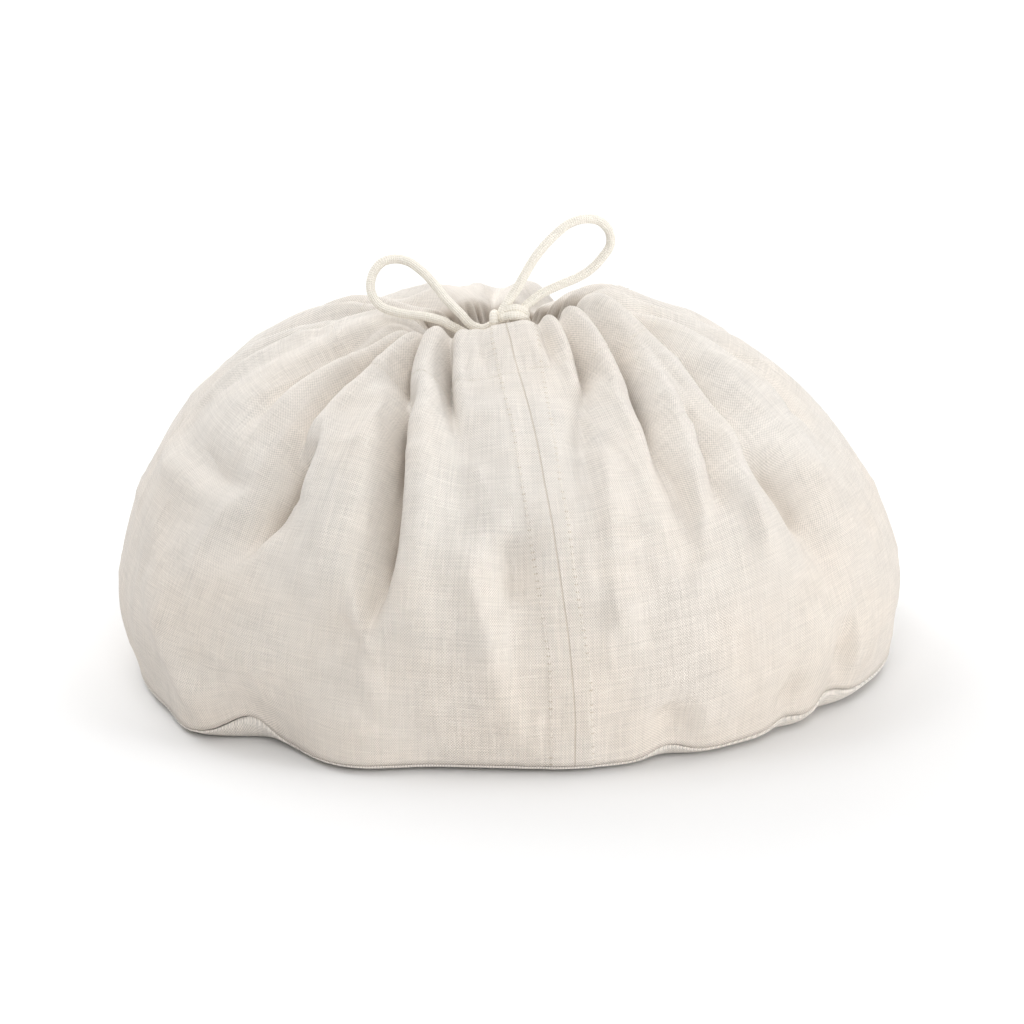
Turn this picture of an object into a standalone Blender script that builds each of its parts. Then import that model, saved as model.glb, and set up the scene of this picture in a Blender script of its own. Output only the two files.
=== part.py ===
"""Linen bread bag: a full, gathered drawstring bag standing on its round base.

The wall panel is one strip of cloth, closed into a tube, gathered at the mouth and rolled over
its own crown down into the mouth. A round base panel closes the foot, and a cord bow lies behind
the front rim. Azimuths are degrees from the front (-Y), positive towards +X. Lengths in the tables
are millimetres; the model itself is in metres, +Z up, origin under the middle of the base.
"""

import math
from typing import NamedTuple

import bmesh
import bpy
import numpy as np
from mathutils import Vector

MM = 0.001

# Cloth
CLOTH_THICKNESS = 1.2
MOUTH_SHIFT_X = -4.0        # the gathered mouth sits a little left of the base's middle
MOUTH_SHIFT_REACH = 120.0   # arc below the crown over which that shift fades out
COLUMNS = 144
ROWS = 17
ROW_CROWDING = 1.35         # rows lie closer together towards the lip
COLUMN_CROWDING = 0.22      # columns lie closer together at the front
LEAN_RIGHT = 24.0           # degrees by which the columns follow the slanting gathers at the lip
LEAN_LEFT = 15.0
LEAN_FOOT_SHARE = 0.5       # share of that lean, the other way, at the foot
SECTION_STEPS = 24          # steps of the side view between two stations

# Folds
TROUGH_ROUNDING = 0.45      # share of the half width that is rounded at a trough's bottom
CROWN_DEPTH_SHARE = 0.35    # folds keep this share of their depth over the crown
CROWN_DEPTH_REACH = 26.0    # arc below the crown where they reach their full depth
BULGE_SHARE = 0.16          # cloth pushed up on both sides of a trough, share of its depth
BULGE_OFFSET = 2.4          # where that bulge lies, and how wide it is, in half widths
BULGE_WIDTH = 1.3
FOLD_RADIUS_LEAST = 24.0    # radius under which folds narrow no further
INSET_RISE = 30.0           # arc over which a fold that starts below the crown gains its depth
SWELL_RADII = ((0, 60, 150, 220), (35, 90, 150, 160))   # bag's mean radius at each arc
SWELL_END_SHARE = 0.6       # share of a swell's height at its two ends
FOOT_CALM = 18.0            # arc above the foot over which folds run out into the seam

# Base panel
BASE_FLAT_SHARE = 0.90      # flat radius as a share of the foot's radius
BASE_TURN_STEPS = (0.0, 0.45, 0.8, 1.0)     # shares of the edge's quarter turn upwards
BASE_GAP = 0.85             # from the wall's foot down to the base's edge

# Drawstring
CORD_DIAMETER = 4.0
CORD_STEP = 6.0             # distance between two rings of the cord
ROUTE_STEPS = 12            # steps of the smooth route between two of its points
KNOT_CENTRE = (-0.6, -22.8, 156.9)
KNOT_RADII = (7.4, 3.9, 4.2)

# Colours, roughness
LINEN = (0.76, 0.71, 0.64, 1.0)
COTTON = (0.86, 0.80, 0.70, 1.0)
CLOTH_ROUGHNESS = 0.9
CORD_ROUGHNESS = 0.8


class Section(NamedTuple):
    """Side view of the cloth at one azimuth: (radius, height) of its seven stations."""

    azimuth: float
    lip: tuple
    crown: tuple
    collar: tuple
    shoulder: tuple
    flank: tuple
    belly: tuple
    foot: tuple


class Fold(NamedTuple):
    """Gather running down from the mouth: azimuths along it, arcs from the crown, sizes."""

    name: str
    azimuth_top: float
    azimuth_middle: float
    azimuth_end: float
    arc_top: float
    arc_end: float
    depth: float
    width_top: float
    width_end: float


class Swell(NamedTuple):
    """Soft ridge (height over 0) or hollow (under 0) along a line on the cloth."""

    azimuth_start: float
    arc_start: float
    azimuth_end: float
    arc_end: float
    height: float
    width: float


class HemWave(NamedTuple):
    """Where the foot seam leaves its even round: outward push, lift, half width in degrees."""

    azimuth: float
    push: float
    lift: float
    spread: float


SECTIONS = (
    Section(-150, (23, 143), (34, 152.5), (59, 153), (109, 140), (152, 98), (165, 40), (150, 4)),
    Section(-110, (27, 143), (41, 153.5), (66, 153), (114, 138), (156, 94), (170, 38), (154, 4)),
    Section(-78, (29, 142), (44, 152.5), (69, 147), (112, 130), (153, 89), (171, 34), (164, 5)),
    Section(-52, (27, 143), (39, 154.5), (63, 143), (106, 124), (144, 84), (165, 36), (160, 4)),
    Section(-27, (24, 142), (31, 153), (57, 142), (101, 118), (133, 80), (148, 40), (147, 4)),
    Section(0, (24, 143), (28, 155), (54, 142.5), (98, 116), (128, 80), (141, 40), (139, 4)),
    Section(30, (24, 145), (30, 158), (56, 144), (101, 119), (135, 82), (148, 40), (145, 4)),
    Section(60, (24, 147), (31, 160.5), (59, 149.5), (108, 126), (148, 88), (163, 40), (156, 8)),
    Section(85, (25, 149), (36, 161.5), (63, 153.5), (109, 130), (149, 90), (169, 42), (166, 8)),
    Section(120, (25, 145), (36, 156.5), (61, 154.5), (109, 134), (148, 94), (166, 40), (156, 5)),
    Section(165, (23, 143), (33, 152), (58, 151.5), (108, 138), (150, 97), (163, 42), (148, 4)),
)

FOLDS = (
    # left of the upright seam
    Fold("a0", -122, -110, -104, -14, 120, 8, 3.5, 8),
    Fold("a", -112, -92.5, -84, -14, 165, 12, 4.0, 9),
    Fold("a1", -86, -77, -73, -14, 60, 6, 3.0, 6),
    Fold("b", -73, -68.5, -62, -14, 100, 10, 2.5, 5),
    Fold("c1", -66.5, -55, -50, -14, 116, 16, 3.4, 6),
    Fold("c2", -48, -46, -52, 70, 152, 18, 4.5, 8),
    Fold("d", -60, -43.5, -31, -14, 56, 17, 3.0, 4.5),
    Fold("e", -35, -22.8, -29, 36, 178, 20, 3.6, 6.5),
    Fold("f", -45, -22.5, -12.5, -14, 80, 14, 2.2, 4),
    Fold("f2", -12, -10, -10, 50, 140, 4, 6.0, 9),
    Fold("w", -19, -11, -5, -14, 42, 2, 1.5, 2),
    # right of the upright seam
    Fold("g", 29, 26, 24, -14, 34, 8, 2.0, 3),
    Fold("h", 48.5, 36.5, 21, -14, 62, 14, 2.4, 4.5),
    Fold("h2", 27, 18, 17, 40, 112, 4, 5.0, 7),
    Fold("i", 80, 46, 35, -14, 112, 19, 3.0, 5.5),
    Fold("i2", 35, 34, 31, 80, 145, 6, 5.0, 8),
    Fold("k", 60, 46, 38, 50, 132, 9, 4.0, 7),
    Fold("j", 108, 64, 51, -14, 138, 13, 3.2, 7),
    Fold("j2", 54, 56, 56, 88, 180, 14, 7.0, 11),
    Fold("l", 108, 87, 73, -14, 150, 7, 3.5, 9),
    Fold("r0", 126, 112, 104, -14, 130, 10, 3.5, 9),
    # behind
    Fold("p1", 141, 134, 130, -14, 150, 10, 3.5, 10),
    Fold("p2", 155, 150, 148, -14, 80, 10, 2.8, 6),
    Fold("p3", 168, 166, 165, -14, 170, 13, 3.5, 10),
    Fold("p4", -178, -178, -179, -14, 80, 10, 2.8, 6),
    Fold("p5", -165, -163, -160, -14, 140, 12, 3.3, 9),
    Fold("p6", -152, -149, -146, -14, 90, 10, 2.8, 7),
    Fold("p7", -140, -137, -135, -14, 170, 13, 3.5, 10),
    Fold("p8", -131, -125, -121, -14, 100, 10, 3.0, 7),
)

SWELLS = (
    Swell(-8, 122, -4, 160, 4.0, 8),
    Swell(-4, 160, 2, 200, 3.0, 7),
    Swell(1, 112, 1, 145, -4.5, 8),
    Swell(-27, 140, -22, 178, 4.0, 6),
    Swell(-16, 138, -13, 152, 4.0, 11),
    Swell(-36, 70, -34, 130, 4.0, 10),
    Swell(-26, 45, -20, 110, 3.0, 6),
    Swell(22, 75, 18, 132, 2.5, 5),
    Swell(39, 90, 34, 130, 3.0, 5),
    Swell(46, 112, 45, 145, 3.0, 6),
    Swell(-78, 106, -58, 110, -3.0, 8),
    Swell(-82, 119, -60, 121, 2.0, 6),
    Swell(-64, 165, -47, 212, 4.0, 7),
    Swell(58, 190, 60, 216, -5.0, 6),
    Swell(48, 203, 48, 218, -4.0, 6),
    Swell(26, 200, 26, 212, -4.0, 8),
    Swell(18, 140, 20, 160, 3.0, 8),
)

HEM_WAVES = (
    HemWave(-53, 6, 0, 6),
    HemWave(-44, -3, 9, 4),
    HemWave(-38, -5, 0, 5),
    HemWave(-25, 8, 0, 8),
    HemWave(9, 3, 0, 12),
    HemWave(26, -2, 4, 4),
    HemWave(48, -2, 2, 3),
    HemWave(59, -3, 4, 4),
    HemWave(120, -2, 3, 6),
    HemWave(170, -3, 4, 6),
    HemWave(-130, -2, 3, 6),
)

# Cord routes, from the knot round each loop and back to it
LEFT_LOOP = (
    (-7.5, -22.0, 154.8), (-12.0, -21.0, 152.4), (-16.2, -20.6, 153.4), (-21.8, -19.0, 158.6),
    (-27.8, -15.0, 163.8), (-32.1, -10.0, 168.2), (-38.4, -4.5, 173.6), (-44.6, -1.0, 177.0),
    (-49.3, 0.0, 177.7), (-54.8, -1.0, 176.6), (-59.0, -3.0, 171.9), (-59.8, -6.0, 165.2),
    (-56.5, -9.0, 160.0), (-48.2, -12.0, 157.2), (-42.2, -14.0, 156.6), (-35.8, -16.5, 156.4),
    (-29.9, -18.0, 155.2), (-23.9, -18.4, 152.0), (-17.0, -17.4, 148.4), (-10.0, -17.4, 147.6),
    (-3.2, -21.0, 151.7),
)
RIGHT_LOOP = (
    (-3.0, -20.4, 161.8), (-0.6, -18.8, 165.0), (2.0, -17.8, 168.8), (4.8, -16.5, 173.6),
    (10.5, -13.5, 182.4), (14.3, -12.0, 186.7), (18.9, -10.0, 191.0), (24.6, -8.4, 194.9),
    (30.7, -7.0, 196.4), (36.4, -5.7, 195.4), (40.9, -5.0, 190.8), (41.6, -5.0, 185.4),
    (37.6, -5.5, 178.9), (33.0, -6.2, 174.3), (28.3, -7.5, 171.6), (20.0, -10.4, 168.7),
    (12.0, -13.6, 165.4), (6.2, -17.0, 161.6),
)


def smooth(value):
    """Ease from 0 to 1 with level ends."""
    t = np.clip(value, 0.0, 1.0)
    return t * t * (3.0 - 2.0 * t)


def turn(degrees):
    """Angle brought into -180..180."""
    return (np.asarray(degrees) + 180.0) % 360.0 - 180.0


def hermite(t, span, start, slope_start, end, slope_end):
    """Cubic between two values with given slopes."""
    t2, t3 = t * t, t * t * t
    return ((2 * t3 - 3 * t2 + 1) * start + (t3 - 2 * t2 + t) * span * slope_start
            + (3 * t2 - 2 * t3) * end + (t3 - t2) * span * slope_end)


def stations(azimuth):
    """Stations of the side view at each azimuth, blended smoothly round the bag."""
    known = np.array([row.azimuth for row in SECTIONS], float)
    values = np.array([sum(row[1:], ()) for row in SECTIONS], float)
    known = np.concatenate([known[-2:] - 360, known, known[:2] + 360])
    values = np.concatenate([values[-2:], values, values[:2]])
    slopes = np.gradient(values, known, axis=0)
    angle = (azimuth - SECTIONS[0].azimuth) % 360 + SECTIONS[0].azimuth
    i = np.searchsorted(known, angle, side="right") - 1
    span = (known[i + 1] - known[i])[:, None]
    t = (angle - known[i])[:, None] / span
    blend = hermite(t, span, values[i], slopes[i], values[i + 1], slopes[i + 1])
    return blend.reshape(len(azimuth), -1, 2)


def smooth_line(points, steps):
    """Curve through the points of each line, its slopes weighted by the distances."""
    first = 2 * points[..., :1, :] - points[..., 1:2, :]
    last = 2 * points[..., -1:, :] - points[..., -2:-1, :]
    chain = np.concatenate([first, points, last], axis=-2)
    chord = np.diff(chain, axis=-2)
    length = np.linalg.norm(chord, axis=-1, keepdims=True)
    rate = chord / length
    before, after = length[..., :-1, :], length[..., 1:, :]
    slope = (rate[..., :-1, :] * after + rate[..., 1:, :] * before) / (before + after)
    pieces = []
    for t in np.arange(steps) / steps:
        pieces.append(hermite(t, after[..., :-1, :], points[..., :-1, :], slope[..., :-1, :],
                              points[..., 1:, :], slope[..., 1:, :]))
    curve = np.stack(pieces, axis=-2)
    curve = curve.reshape(*points.shape[:-2], -1, points.shape[-1])
    return np.concatenate([curve, points[..., -1:, :]], axis=-2)


def run_length(line):
    """Length from the start of each line to each of its points."""
    steps = np.linalg.norm(np.diff(line, axis=-2), axis=-1)
    return np.concatenate([np.zeros((*steps.shape[:-1], 1)), np.cumsum(steps, axis=-1)], axis=-1)


def cloth_threads(count, share):
    """Azimuths of the upright columns, which slant with the gathers: by column and arc share."""
    even = np.radians(np.arange(count) * 360.0 / count - 180.0)
    column = even - COLUMN_CROWDING * np.sin(even)
    lean = np.where(column > 0, LEAN_RIGHT, LEAN_LEFT) * np.sin(column)
    falloff = (1 + LEAN_FOOT_SHARE) * (1 - share) ** 3 - LEAN_FOOT_SHARE
    return np.degrees(column)[:, None] + lean[:, None] * falloff


def calm_surface(azimuth, share):
    """Cloth without its folds: points (mm) and arcs from the crown, by column and arc share."""
    radius = np.empty_like(azimuth)
    height = np.empty_like(azimuth)
    arc = np.empty_like(azimuth)
    total = np.empty_like(azimuth)
    for row, part in enumerate(share):
        line = smooth_line(stations(azimuth[:, row]), SECTION_STEPS)
        length = run_length(line)
        total[:, row] = length[:, -1]
        arc[:, row] = part * total[:, row] - length[:, SECTION_STEPS]
        for column, reach in enumerate(part * total[:, row]):
            radius[column, row] = np.interp(reach, length[column], line[column, :, 0])
            height[column, row] = np.interp(reach, length[column], line[column, :, 1])
    angle = np.radians(azimuth)
    shift = MOUTH_SHIFT_X * smooth(1 - arc / MOUTH_SHIFT_REACH)
    points = np.stack([shift + radius * np.sin(angle), -radius * np.cos(angle), height], axis=-1)
    return points, arc, (1 - share) * total


def fold_depth(azimuth, arc, radius):
    """Push along the cloth's normal (mm, outward over 0) of all folds together."""
    push = np.zeros_like(arc)
    for fold in FOLDS:
        run = fold.arc_end - fold.arc_top
        t = np.clip((arc - fold.arc_top) / run, 0, 1)
        to_middle = turn(fold.azimuth_middle - fold.azimuth_top)
        to_end = turn(fold.azimuth_end - fold.azimuth_top)
        path = fold.azimuth_top + 4 * to_middle * t * (1 - t) + to_end * t * (2 * t - 1)
        across = np.radians(turn(azimuth - path)) * radius
        width = fold.width_top + (fold.width_end - fold.width_top) * t
        rounding = TROUGH_ROUNDING * width
        trough = np.exp(-(np.sqrt(across ** 2 + rounding ** 2) - rounding) / width)
        amount = smooth((fold.arc_end - arc) / (0.5 * run))
        if fold.arc_top < 0:
            over_crown = smooth((arc - 1) / CROWN_DEPTH_REACH)
            amount = amount * (CROWN_DEPTH_SHARE + (1 - CROWN_DEPTH_SHARE) * over_crown)
        else:
            amount = amount * smooth((arc - fold.arc_top) / INSET_RISE)
        bulge = np.exp(-((np.abs(across) - BULGE_OFFSET * width) / (BULGE_WIDTH * width)) ** 2)
        push += fold.depth * amount * (BULGE_SHARE * bulge - trough)
    return push


def swell_height(azimuth, arc):
    """Push along the cloth's normal (mm) of the soft ridges and hollows."""
    push = np.zeros_like(arc)
    for swell in SWELLS:
        radius = np.interp((swell.arc_start + swell.arc_end) / 2, *SWELL_RADII)
        across = np.radians(turn(azimuth - swell.azimuth_start)) * radius
        down = arc - swell.arc_start
        run_across = math.radians(turn(swell.azimuth_end - swell.azimuth_start)) * radius
        run_down = swell.arc_end - swell.arc_start
        t = (across * run_across + down * run_down) / (run_across ** 2 + run_down ** 2)
        t = np.clip(t, 0, 1)
        away = (across - t * run_across) ** 2 + (down - t * run_down) ** 2
        along = SWELL_END_SHARE + (1 - SWELL_END_SHARE) * np.sin(np.pi * t)
        push += swell.height * np.exp(-away / swell.width ** 2) * along
    return push


def hem_wave(azimuth):
    """Outward push and lift (mm) of the foot seam at each azimuth."""
    push = np.zeros_like(azimuth)
    lift = np.zeros_like(azimuth)
    for wave in HEM_WAVES:
        near = np.exp(-(turn(azimuth - wave.azimuth) / wave.spread) ** 2)
        push += wave.push * near
        lift += wave.lift * near
    return push, lift


def cloth_surface(columns, share):
    """Outer face of the gathered wall: points in metres, by column and arc share."""
    azimuth = cloth_threads(columns, share)
    points, arc, to_foot = calm_surface(azimuth, share)
    round_the_bag = np.roll(points, -1, axis=0) - np.roll(points, 1, axis=0)
    normal = np.cross(np.gradient(points, axis=1), round_the_bag)
    normal /= np.linalg.norm(normal, axis=-1, keepdims=True)
    radius = np.maximum(np.hypot(points[..., 0], points[..., 1]), FOLD_RADIUS_LEAST)
    push = fold_depth(azimuth, arc, radius) + swell_height(azimuth, arc)
    points = points + normal * (push * smooth(to_foot / FOOT_CALM))[..., None]
    hem_push, hem_lift = hem_wave(azimuth)
    near_foot = 1 - smooth(to_foot / (2 * FOOT_CALM))
    points[..., 0] += hem_push * near_foot * np.sin(np.radians(azimuth))
    points[..., 1] -= hem_push * near_foot * np.cos(np.radians(azimuth))
    points[..., 2] += hem_lift * near_foot
    return points * MM


def make_material(name, colour, roughness):
    """Plain cloth or cord material."""
    material = bpy.data.materials.new(name)
    material.use_nodes = True
    shader = material.node_tree.nodes["Principled BSDF"]
    shader.inputs["Base Color"].default_value = colour
    shader.inputs["Roughness"].default_value = roughness
    shader.inputs["Metallic"].default_value = 0.0
    return material


def add_object(name, mesh, material, collection):
    """Mesh object in the part's collection, with its material."""
    obj = bpy.data.objects.new(name, mesh)
    mesh.materials.append(material)
    collection.objects.link(obj)
    return obj


def thicken(obj, offset):
    """Give an open sheet its cloth thickness; offset -1 grows it behind its faces."""
    solidify = obj.modifiers.new("cloth", "SOLIDIFY")
    solidify.thickness = CLOTH_THICKNESS * MM
    solidify.offset = offset
    solidify.use_even_offset = False


def make_wall(collection, material):
    """Wall panel: a grid wrapped round the bag, its upright edges welded."""
    share = (np.arange(ROWS + 1) / ROWS) ** ROW_CROWDING
    points = cloth_surface(COLUMNS, share)
    bm = bmesh.new()
    bmesh.ops.create_grid(bm, x_segments=COLUMNS, y_segments=ROWS, size=0.5)
    for vert in bm.verts:
        column = round((vert.co.x + 0.5) * COLUMNS)
        row = round((0.5 - vert.co.y) * ROWS)
        vert.co = points[column % COLUMNS, row].tolist()
    bmesh.ops.remove_doubles(bm, verts=bm.verts, dist=0.00001)
    mesh = bpy.data.meshes.new("wall_panel")
    bm.to_mesh(mesh)
    bm.free()
    mesh.shade_smooth()
    wall = add_object("wall_panel", mesh, material, collection)
    thicken(wall, -1.0)
    return points[:, -1] / MM


def make_base(collection, material, foot):
    """Base panel: flat disc whose edge turns up to the wall's foot, seen from below."""
    radius = np.hypot(foot[:, 0], foot[:, 1]) - CLOTH_THICKNESS / 2
    along = foot[:, :2] / np.hypot(foot[:, 0], foot[:, 1])[:, None]
    rim_height = foot[:, 2] - BASE_GAP
    rings = []
    for turned in BASE_TURN_STEPS:
        out = radius * (BASE_FLAT_SHARE + (1 - BASE_FLAT_SHARE) * math.sin(turned * math.pi / 2))
        up = rim_height * (1 - math.cos(turned * math.pi / 2))
        rings.append(np.column_stack([along * out[:, None], up]) * MM)
    bm = bmesh.new()
    circle = bmesh.ops.create_circle(bm, cap_ends=True, segments=COLUMNS, radius=1.0)["verts"]
    circle.sort(key=lambda v: turn(math.degrees(math.atan2(v.co.x, -v.co.y)) + 0.01))
    for vert, place in zip(circle, rings[0]):
        vert.co = place.tolist()
    ring_verts = circle
    for ring in rings[1:]:
        edges = [e for e in bm.edges if len(e.link_faces) == 1]
        grown = bmesh.ops.extrude_edge_only(bm, edges=edges)["geom"]
        outer = [v for v in grown if isinstance(v, bmesh.types.BMVert)]
        pairs = {}
        for vert in outer:
            inner = next(e.other_vert(vert) for e in vert.link_edges if e.other_vert(vert) not in outer)
            pairs[inner] = vert
        ring_verts = [pairs[v] for v in ring_verts]
        for vert, place in zip(ring_verts, ring):
            vert.co = place.tolist()
    bmesh.ops.recalc_face_normals(bm, faces=bm.faces[:])
    mesh = bpy.data.meshes.new("base_panel")
    bm.to_mesh(mesh)
    bm.free()
    mesh.shade_smooth()
    base = add_object("base_panel", mesh, material, collection)
    thicken(base, -1.0)


def make_loop(name, route, collection, material):
    """One loop of the bow: a round tube along a smooth route."""
    line = smooth_line(np.array(route, float), ROUTE_STEPS)
    length = run_length(line)
    count = round(length[-1] / CORD_STEP) + 1
    even = np.linspace(0, length[-1], count)
    curve = bpy.data.curves.new(name, "CURVE")
    curve.dimensions = "3D"
    curve.bevel_depth = CORD_DIAMETER / 2 * MM
    curve.bevel_resolution = 3
    curve.use_fill_caps = True
    spline = curve.splines.new("POLY")
    spline.points.add(count - 1)
    for i, point in enumerate(spline.points):
        place = [np.interp(even[i], length, line[:, axis]) * MM for axis in range(3)]
        point.co = (*place, 1.0)
    curve.materials.append(material)
    collection.objects.link(bpy.data.objects.new(name, curve))


def make_knot(collection, material):
    """Knot of the bow, a rounded lump where both loops meet."""
    bm = bmesh.new()
    bmesh.ops.create_uvsphere(bm, u_segments=16, v_segments=10, radius=1.0)
    for vert in bm.verts:
        vert.co = Vector(c * r * MM for c, r in zip(vert.co, KNOT_RADII))
    mesh = bpy.data.meshes.new("bow_knot")
    bm.to_mesh(mesh)
    bm.free()
    mesh.shade_smooth()
    knot = add_object("bow_knot", mesh, material, collection)
    knot.location = Vector(KNOT_CENTRE) * MM


def main():
    """Clear the scene and model the bag."""
    for obj in list(bpy.data.objects):
        bpy.data.objects.remove(obj)
    collection = bpy.data.collections.new("bread_bag")
    bpy.context.scene.collection.children.link(collection)
    foot = make_wall(collection, make_material("wall_linen", LINEN, CLOTH_ROUGHNESS))
    make_base(collection, make_material("base_linen", LINEN, CLOTH_ROUGHNESS), foot)
    for name, route in (("bow_left_loop", LEFT_LOOP), ("bow_right_loop", RIGHT_LOOP)):
        make_loop(name, route, collection, make_material(name, COTTON, CORD_ROUGHNESS))
    make_knot(collection, make_material("bow_knot", COTTON, CORD_ROUGHNESS))


main()
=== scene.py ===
import logging
import math
from dataclasses import dataclass, field
from enum import Enum
from typing import Callable, NamedTuple

import bpy
import numpy as np
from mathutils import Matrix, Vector


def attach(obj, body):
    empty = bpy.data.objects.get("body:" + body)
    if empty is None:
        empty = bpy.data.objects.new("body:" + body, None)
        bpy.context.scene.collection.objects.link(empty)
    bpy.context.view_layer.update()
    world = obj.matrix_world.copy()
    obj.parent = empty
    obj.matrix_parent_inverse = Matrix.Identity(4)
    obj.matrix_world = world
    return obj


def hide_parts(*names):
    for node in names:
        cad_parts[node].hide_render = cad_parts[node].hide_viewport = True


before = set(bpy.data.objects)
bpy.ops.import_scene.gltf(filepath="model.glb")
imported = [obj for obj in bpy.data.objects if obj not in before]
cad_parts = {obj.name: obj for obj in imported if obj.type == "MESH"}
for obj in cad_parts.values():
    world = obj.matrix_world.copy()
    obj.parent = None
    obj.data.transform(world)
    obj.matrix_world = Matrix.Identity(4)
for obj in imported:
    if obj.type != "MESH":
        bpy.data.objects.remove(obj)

MM = 0.001
LOG = logging.getLogger("bread_bag")
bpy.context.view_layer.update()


# ---------------------------------------------------------------- tables of the draped cloth


class Section(NamedTuple):
    """Side view of the cloth at one azimuth: (radius, height) in mm of its seven stations."""

    azimuth: float
    lip: tuple
    crown: tuple
    collar: tuple
    shoulder: tuple
    flank: tuple
    belly: tuple
    foot: tuple


class Fold(NamedTuple):
    """Gather running down from the mouth: azimuths along it, arcs from the crown, sizes."""

    name: str
    azimuth_top: float
    azimuth_middle: float
    azimuth_end: float
    arc_top: float
    arc_end: float
    depth: float
    width_top: float
    width_end: float
    steep: int = 0
    over: float = 0.0


class Swell(NamedTuple):
    """Soft ridge (height over 0) or hollow (under 0) along a line on the cloth."""

    azimuth_start: float
    arc_start: float
    azimuth_end: float
    arc_end: float
    height: float
    width: float


class HemWave(NamedTuple):
    """Where the foot seam leaves its even round: outward push, lift, half width in degrees."""

    azimuth: float
    push: float
    lift: float
    spread: float


SECTIONS = (
    Section(-150, (23, 143), (34, 152.5), (59, 153), (109, 140), (152, 98), (165, 40), (150, 4)),
    Section(-110, (27, 143), (41, 153.5), (66, 153), (114, 138), (156, 94), (170, 38), (154, 4)),
    Section(-78, (29, 142), (44, 152.5), (69, 147), (112, 130), (153, 89), (171, 34), (164, 5)),
    Section(-52, (27, 143), (39, 154.5), (63, 143), (106, 124), (144, 84), (165, 36), (160, 4)),
    Section(-27, (24, 142), (31, 153), (57, 142), (101, 118), (133, 80), (148, 40), (147, 4)),
    Section(0, (24, 143), (28, 155), (54, 142.5), (98, 116), (128, 80), (141, 40), (139, 4)),
    Section(30, (24, 145), (30, 158), (56, 144), (101, 119), (135, 82), (148, 40), (145, 4)),
    Section(60, (24, 147), (31, 160.5), (59, 149.5), (108, 126), (148, 88), (163, 40), (156, 8)),
    Section(85, (25, 149), (36, 161.5), (63, 153.5), (109, 130), (149, 90), (169, 42), (166, 8)),
    Section(120, (25, 145), (36, 156.5), (61, 154.5), (109, 134), (148, 94), (166, 40), (156, 5)),
    Section(165, (23, 143), (33, 152), (58, 151.5), (108, 138), (150, 97), (163, 42), (148, 4)),
)

FOLDS = (
    # left of the upright seam
    Fold("a0", -122, -110, -104, -14, 120, 8, 3.5, 8),
    Fold("a", -112, -92.5, -84, -14, 165, 12, 4.0, 9, 1, 2),
    Fold("a1", -86, -77, -73, -14, 60, 6, 3.0, 6),
    Fold("b", -73, -68.5, -62, -14, 100, 10, 2.5, 5, 1, 2),
    Fold("c1", -66.5, -55, -50, -14, 116, 16, 3.4, 6, 1, 3),
    Fold("c2", -48, -46, -52, 70, 152, 18, 4.5, 8, 1, 3.5),
    Fold("d", -60, -43.5, -31, -14, 56, 17, 3.0, 4.5, 1, 4),
    Fold("e", -34, -21.5, -28, 36, 178, 20, 3.6, 6.5, 1, 5),
    Fold("f", -45, -23.5, -14, -14, 72, 12, 1.9, 3.6, 1, 1.5),
    Fold("f2", -12, -10, -10, 50, 140, 4, 6.0, 9),
    Fold("w", -19, -11, -5, -14, 42, 2, 1.5, 2),
    # right of the upright seam
    Fold("g", 29, 26, 24, -14, 34, 8, 2.0, 3),
    Fold("h", 48.5, 36.5, 21, -14, 62, 14, 2.4, 4.5, -1, 2.0),
    Fold("h2", 27, 18, 17, 40, 112, 4, 5.0, 7),
    Fold("i", 79, 43.5, 33, -14, 112, 19, 3.0, 5.5, -1, 4.5),
    Fold("i2", 35, 34, 31, 80, 145, 6, 5.0, 8),
    Fold("k", 60, 46, 38, 50, 132, 9, 4.0, 7, -1, 2.5),
    Fold("j", 108, 65, 55, -14, 138, 13, 3.2, 7, -1, 3),
    Fold("j2", 54, 56, 56, 88, 180, 14, 7.0, 11),
    Fold("l", 108, 87, 73, -14, 150, 9, 3.5, 8, -1, 2),
    Fold("r0", 122, 112, 104, -14, 130, 7, 3.0, 9),
    # behind
    Fold("p1", 137, 133, 130, -14, 150, 6, 3.5, 10),
    Fold("p2", 150, 149, 148, -14, 80, 7, 2.8, 6),
    Fold("p3", 161, 164, 165, -14, 170, 13, 3.5, 10),
    Fold("p4", -173.5, -176, -178, -14, 80, 6, 2.8, 6),
    Fold("p5", -163, -162, -160, 24, 140, 12, 3.3, 9),
    Fold("p6", -151, -149, -146, 24, 90, 10, 2.8, 7),
    Fold("p7", -141, -138, -135, -14, 170, 13, 3.5, 10),
    Fold("p8", -131, -125, -121, -14, 100, 10, 3.0, 7),
)

SWELLS = (
    Swell(106, 6, 126, 26, 6.0, 12),
    Swell(131, 4, 140, 24, 4.0, 8),
    Swell(-120, 0, -120, 24, -2.5, 12),
    Swell(-8, 122, -4, 160, 4.0, 8),
    Swell(-4, 160, 2, 200, 3.0, 7),
    Swell(1, 112, 1, 145, -4.5, 8),
    Swell(-27, 140, -22, 178, 4.0, 6),
    Swell(-16, 138, -13, 152, 4.0, 11),
    Swell(-36, 70, -34, 130, 4.0, 10),
    Swell(-26, 45, -20, 110, 3.0, 6),
    Swell(22, 75, 18, 132, 2.5, 5),
    Swell(39, 90, 34, 130, 3.0, 5),
    Swell(46, 112, 45, 145, 3.0, 6),
    Swell(-78, 106, -58, 110, -3.0, 8),
    Swell(-82, 119, -60, 121, 2.0, 6),
    Swell(-64, 165, -47, 212, 4.0, 7),
    Swell(58, 190, 60, 216, -5.0, 6),
    Swell(48, 203, 48, 218, -4.0, 6),
    Swell(26, 200, 26, 212, -4.0, 8),
    Swell(18, 140, 20, 160, 3.0, 8),
)

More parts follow.
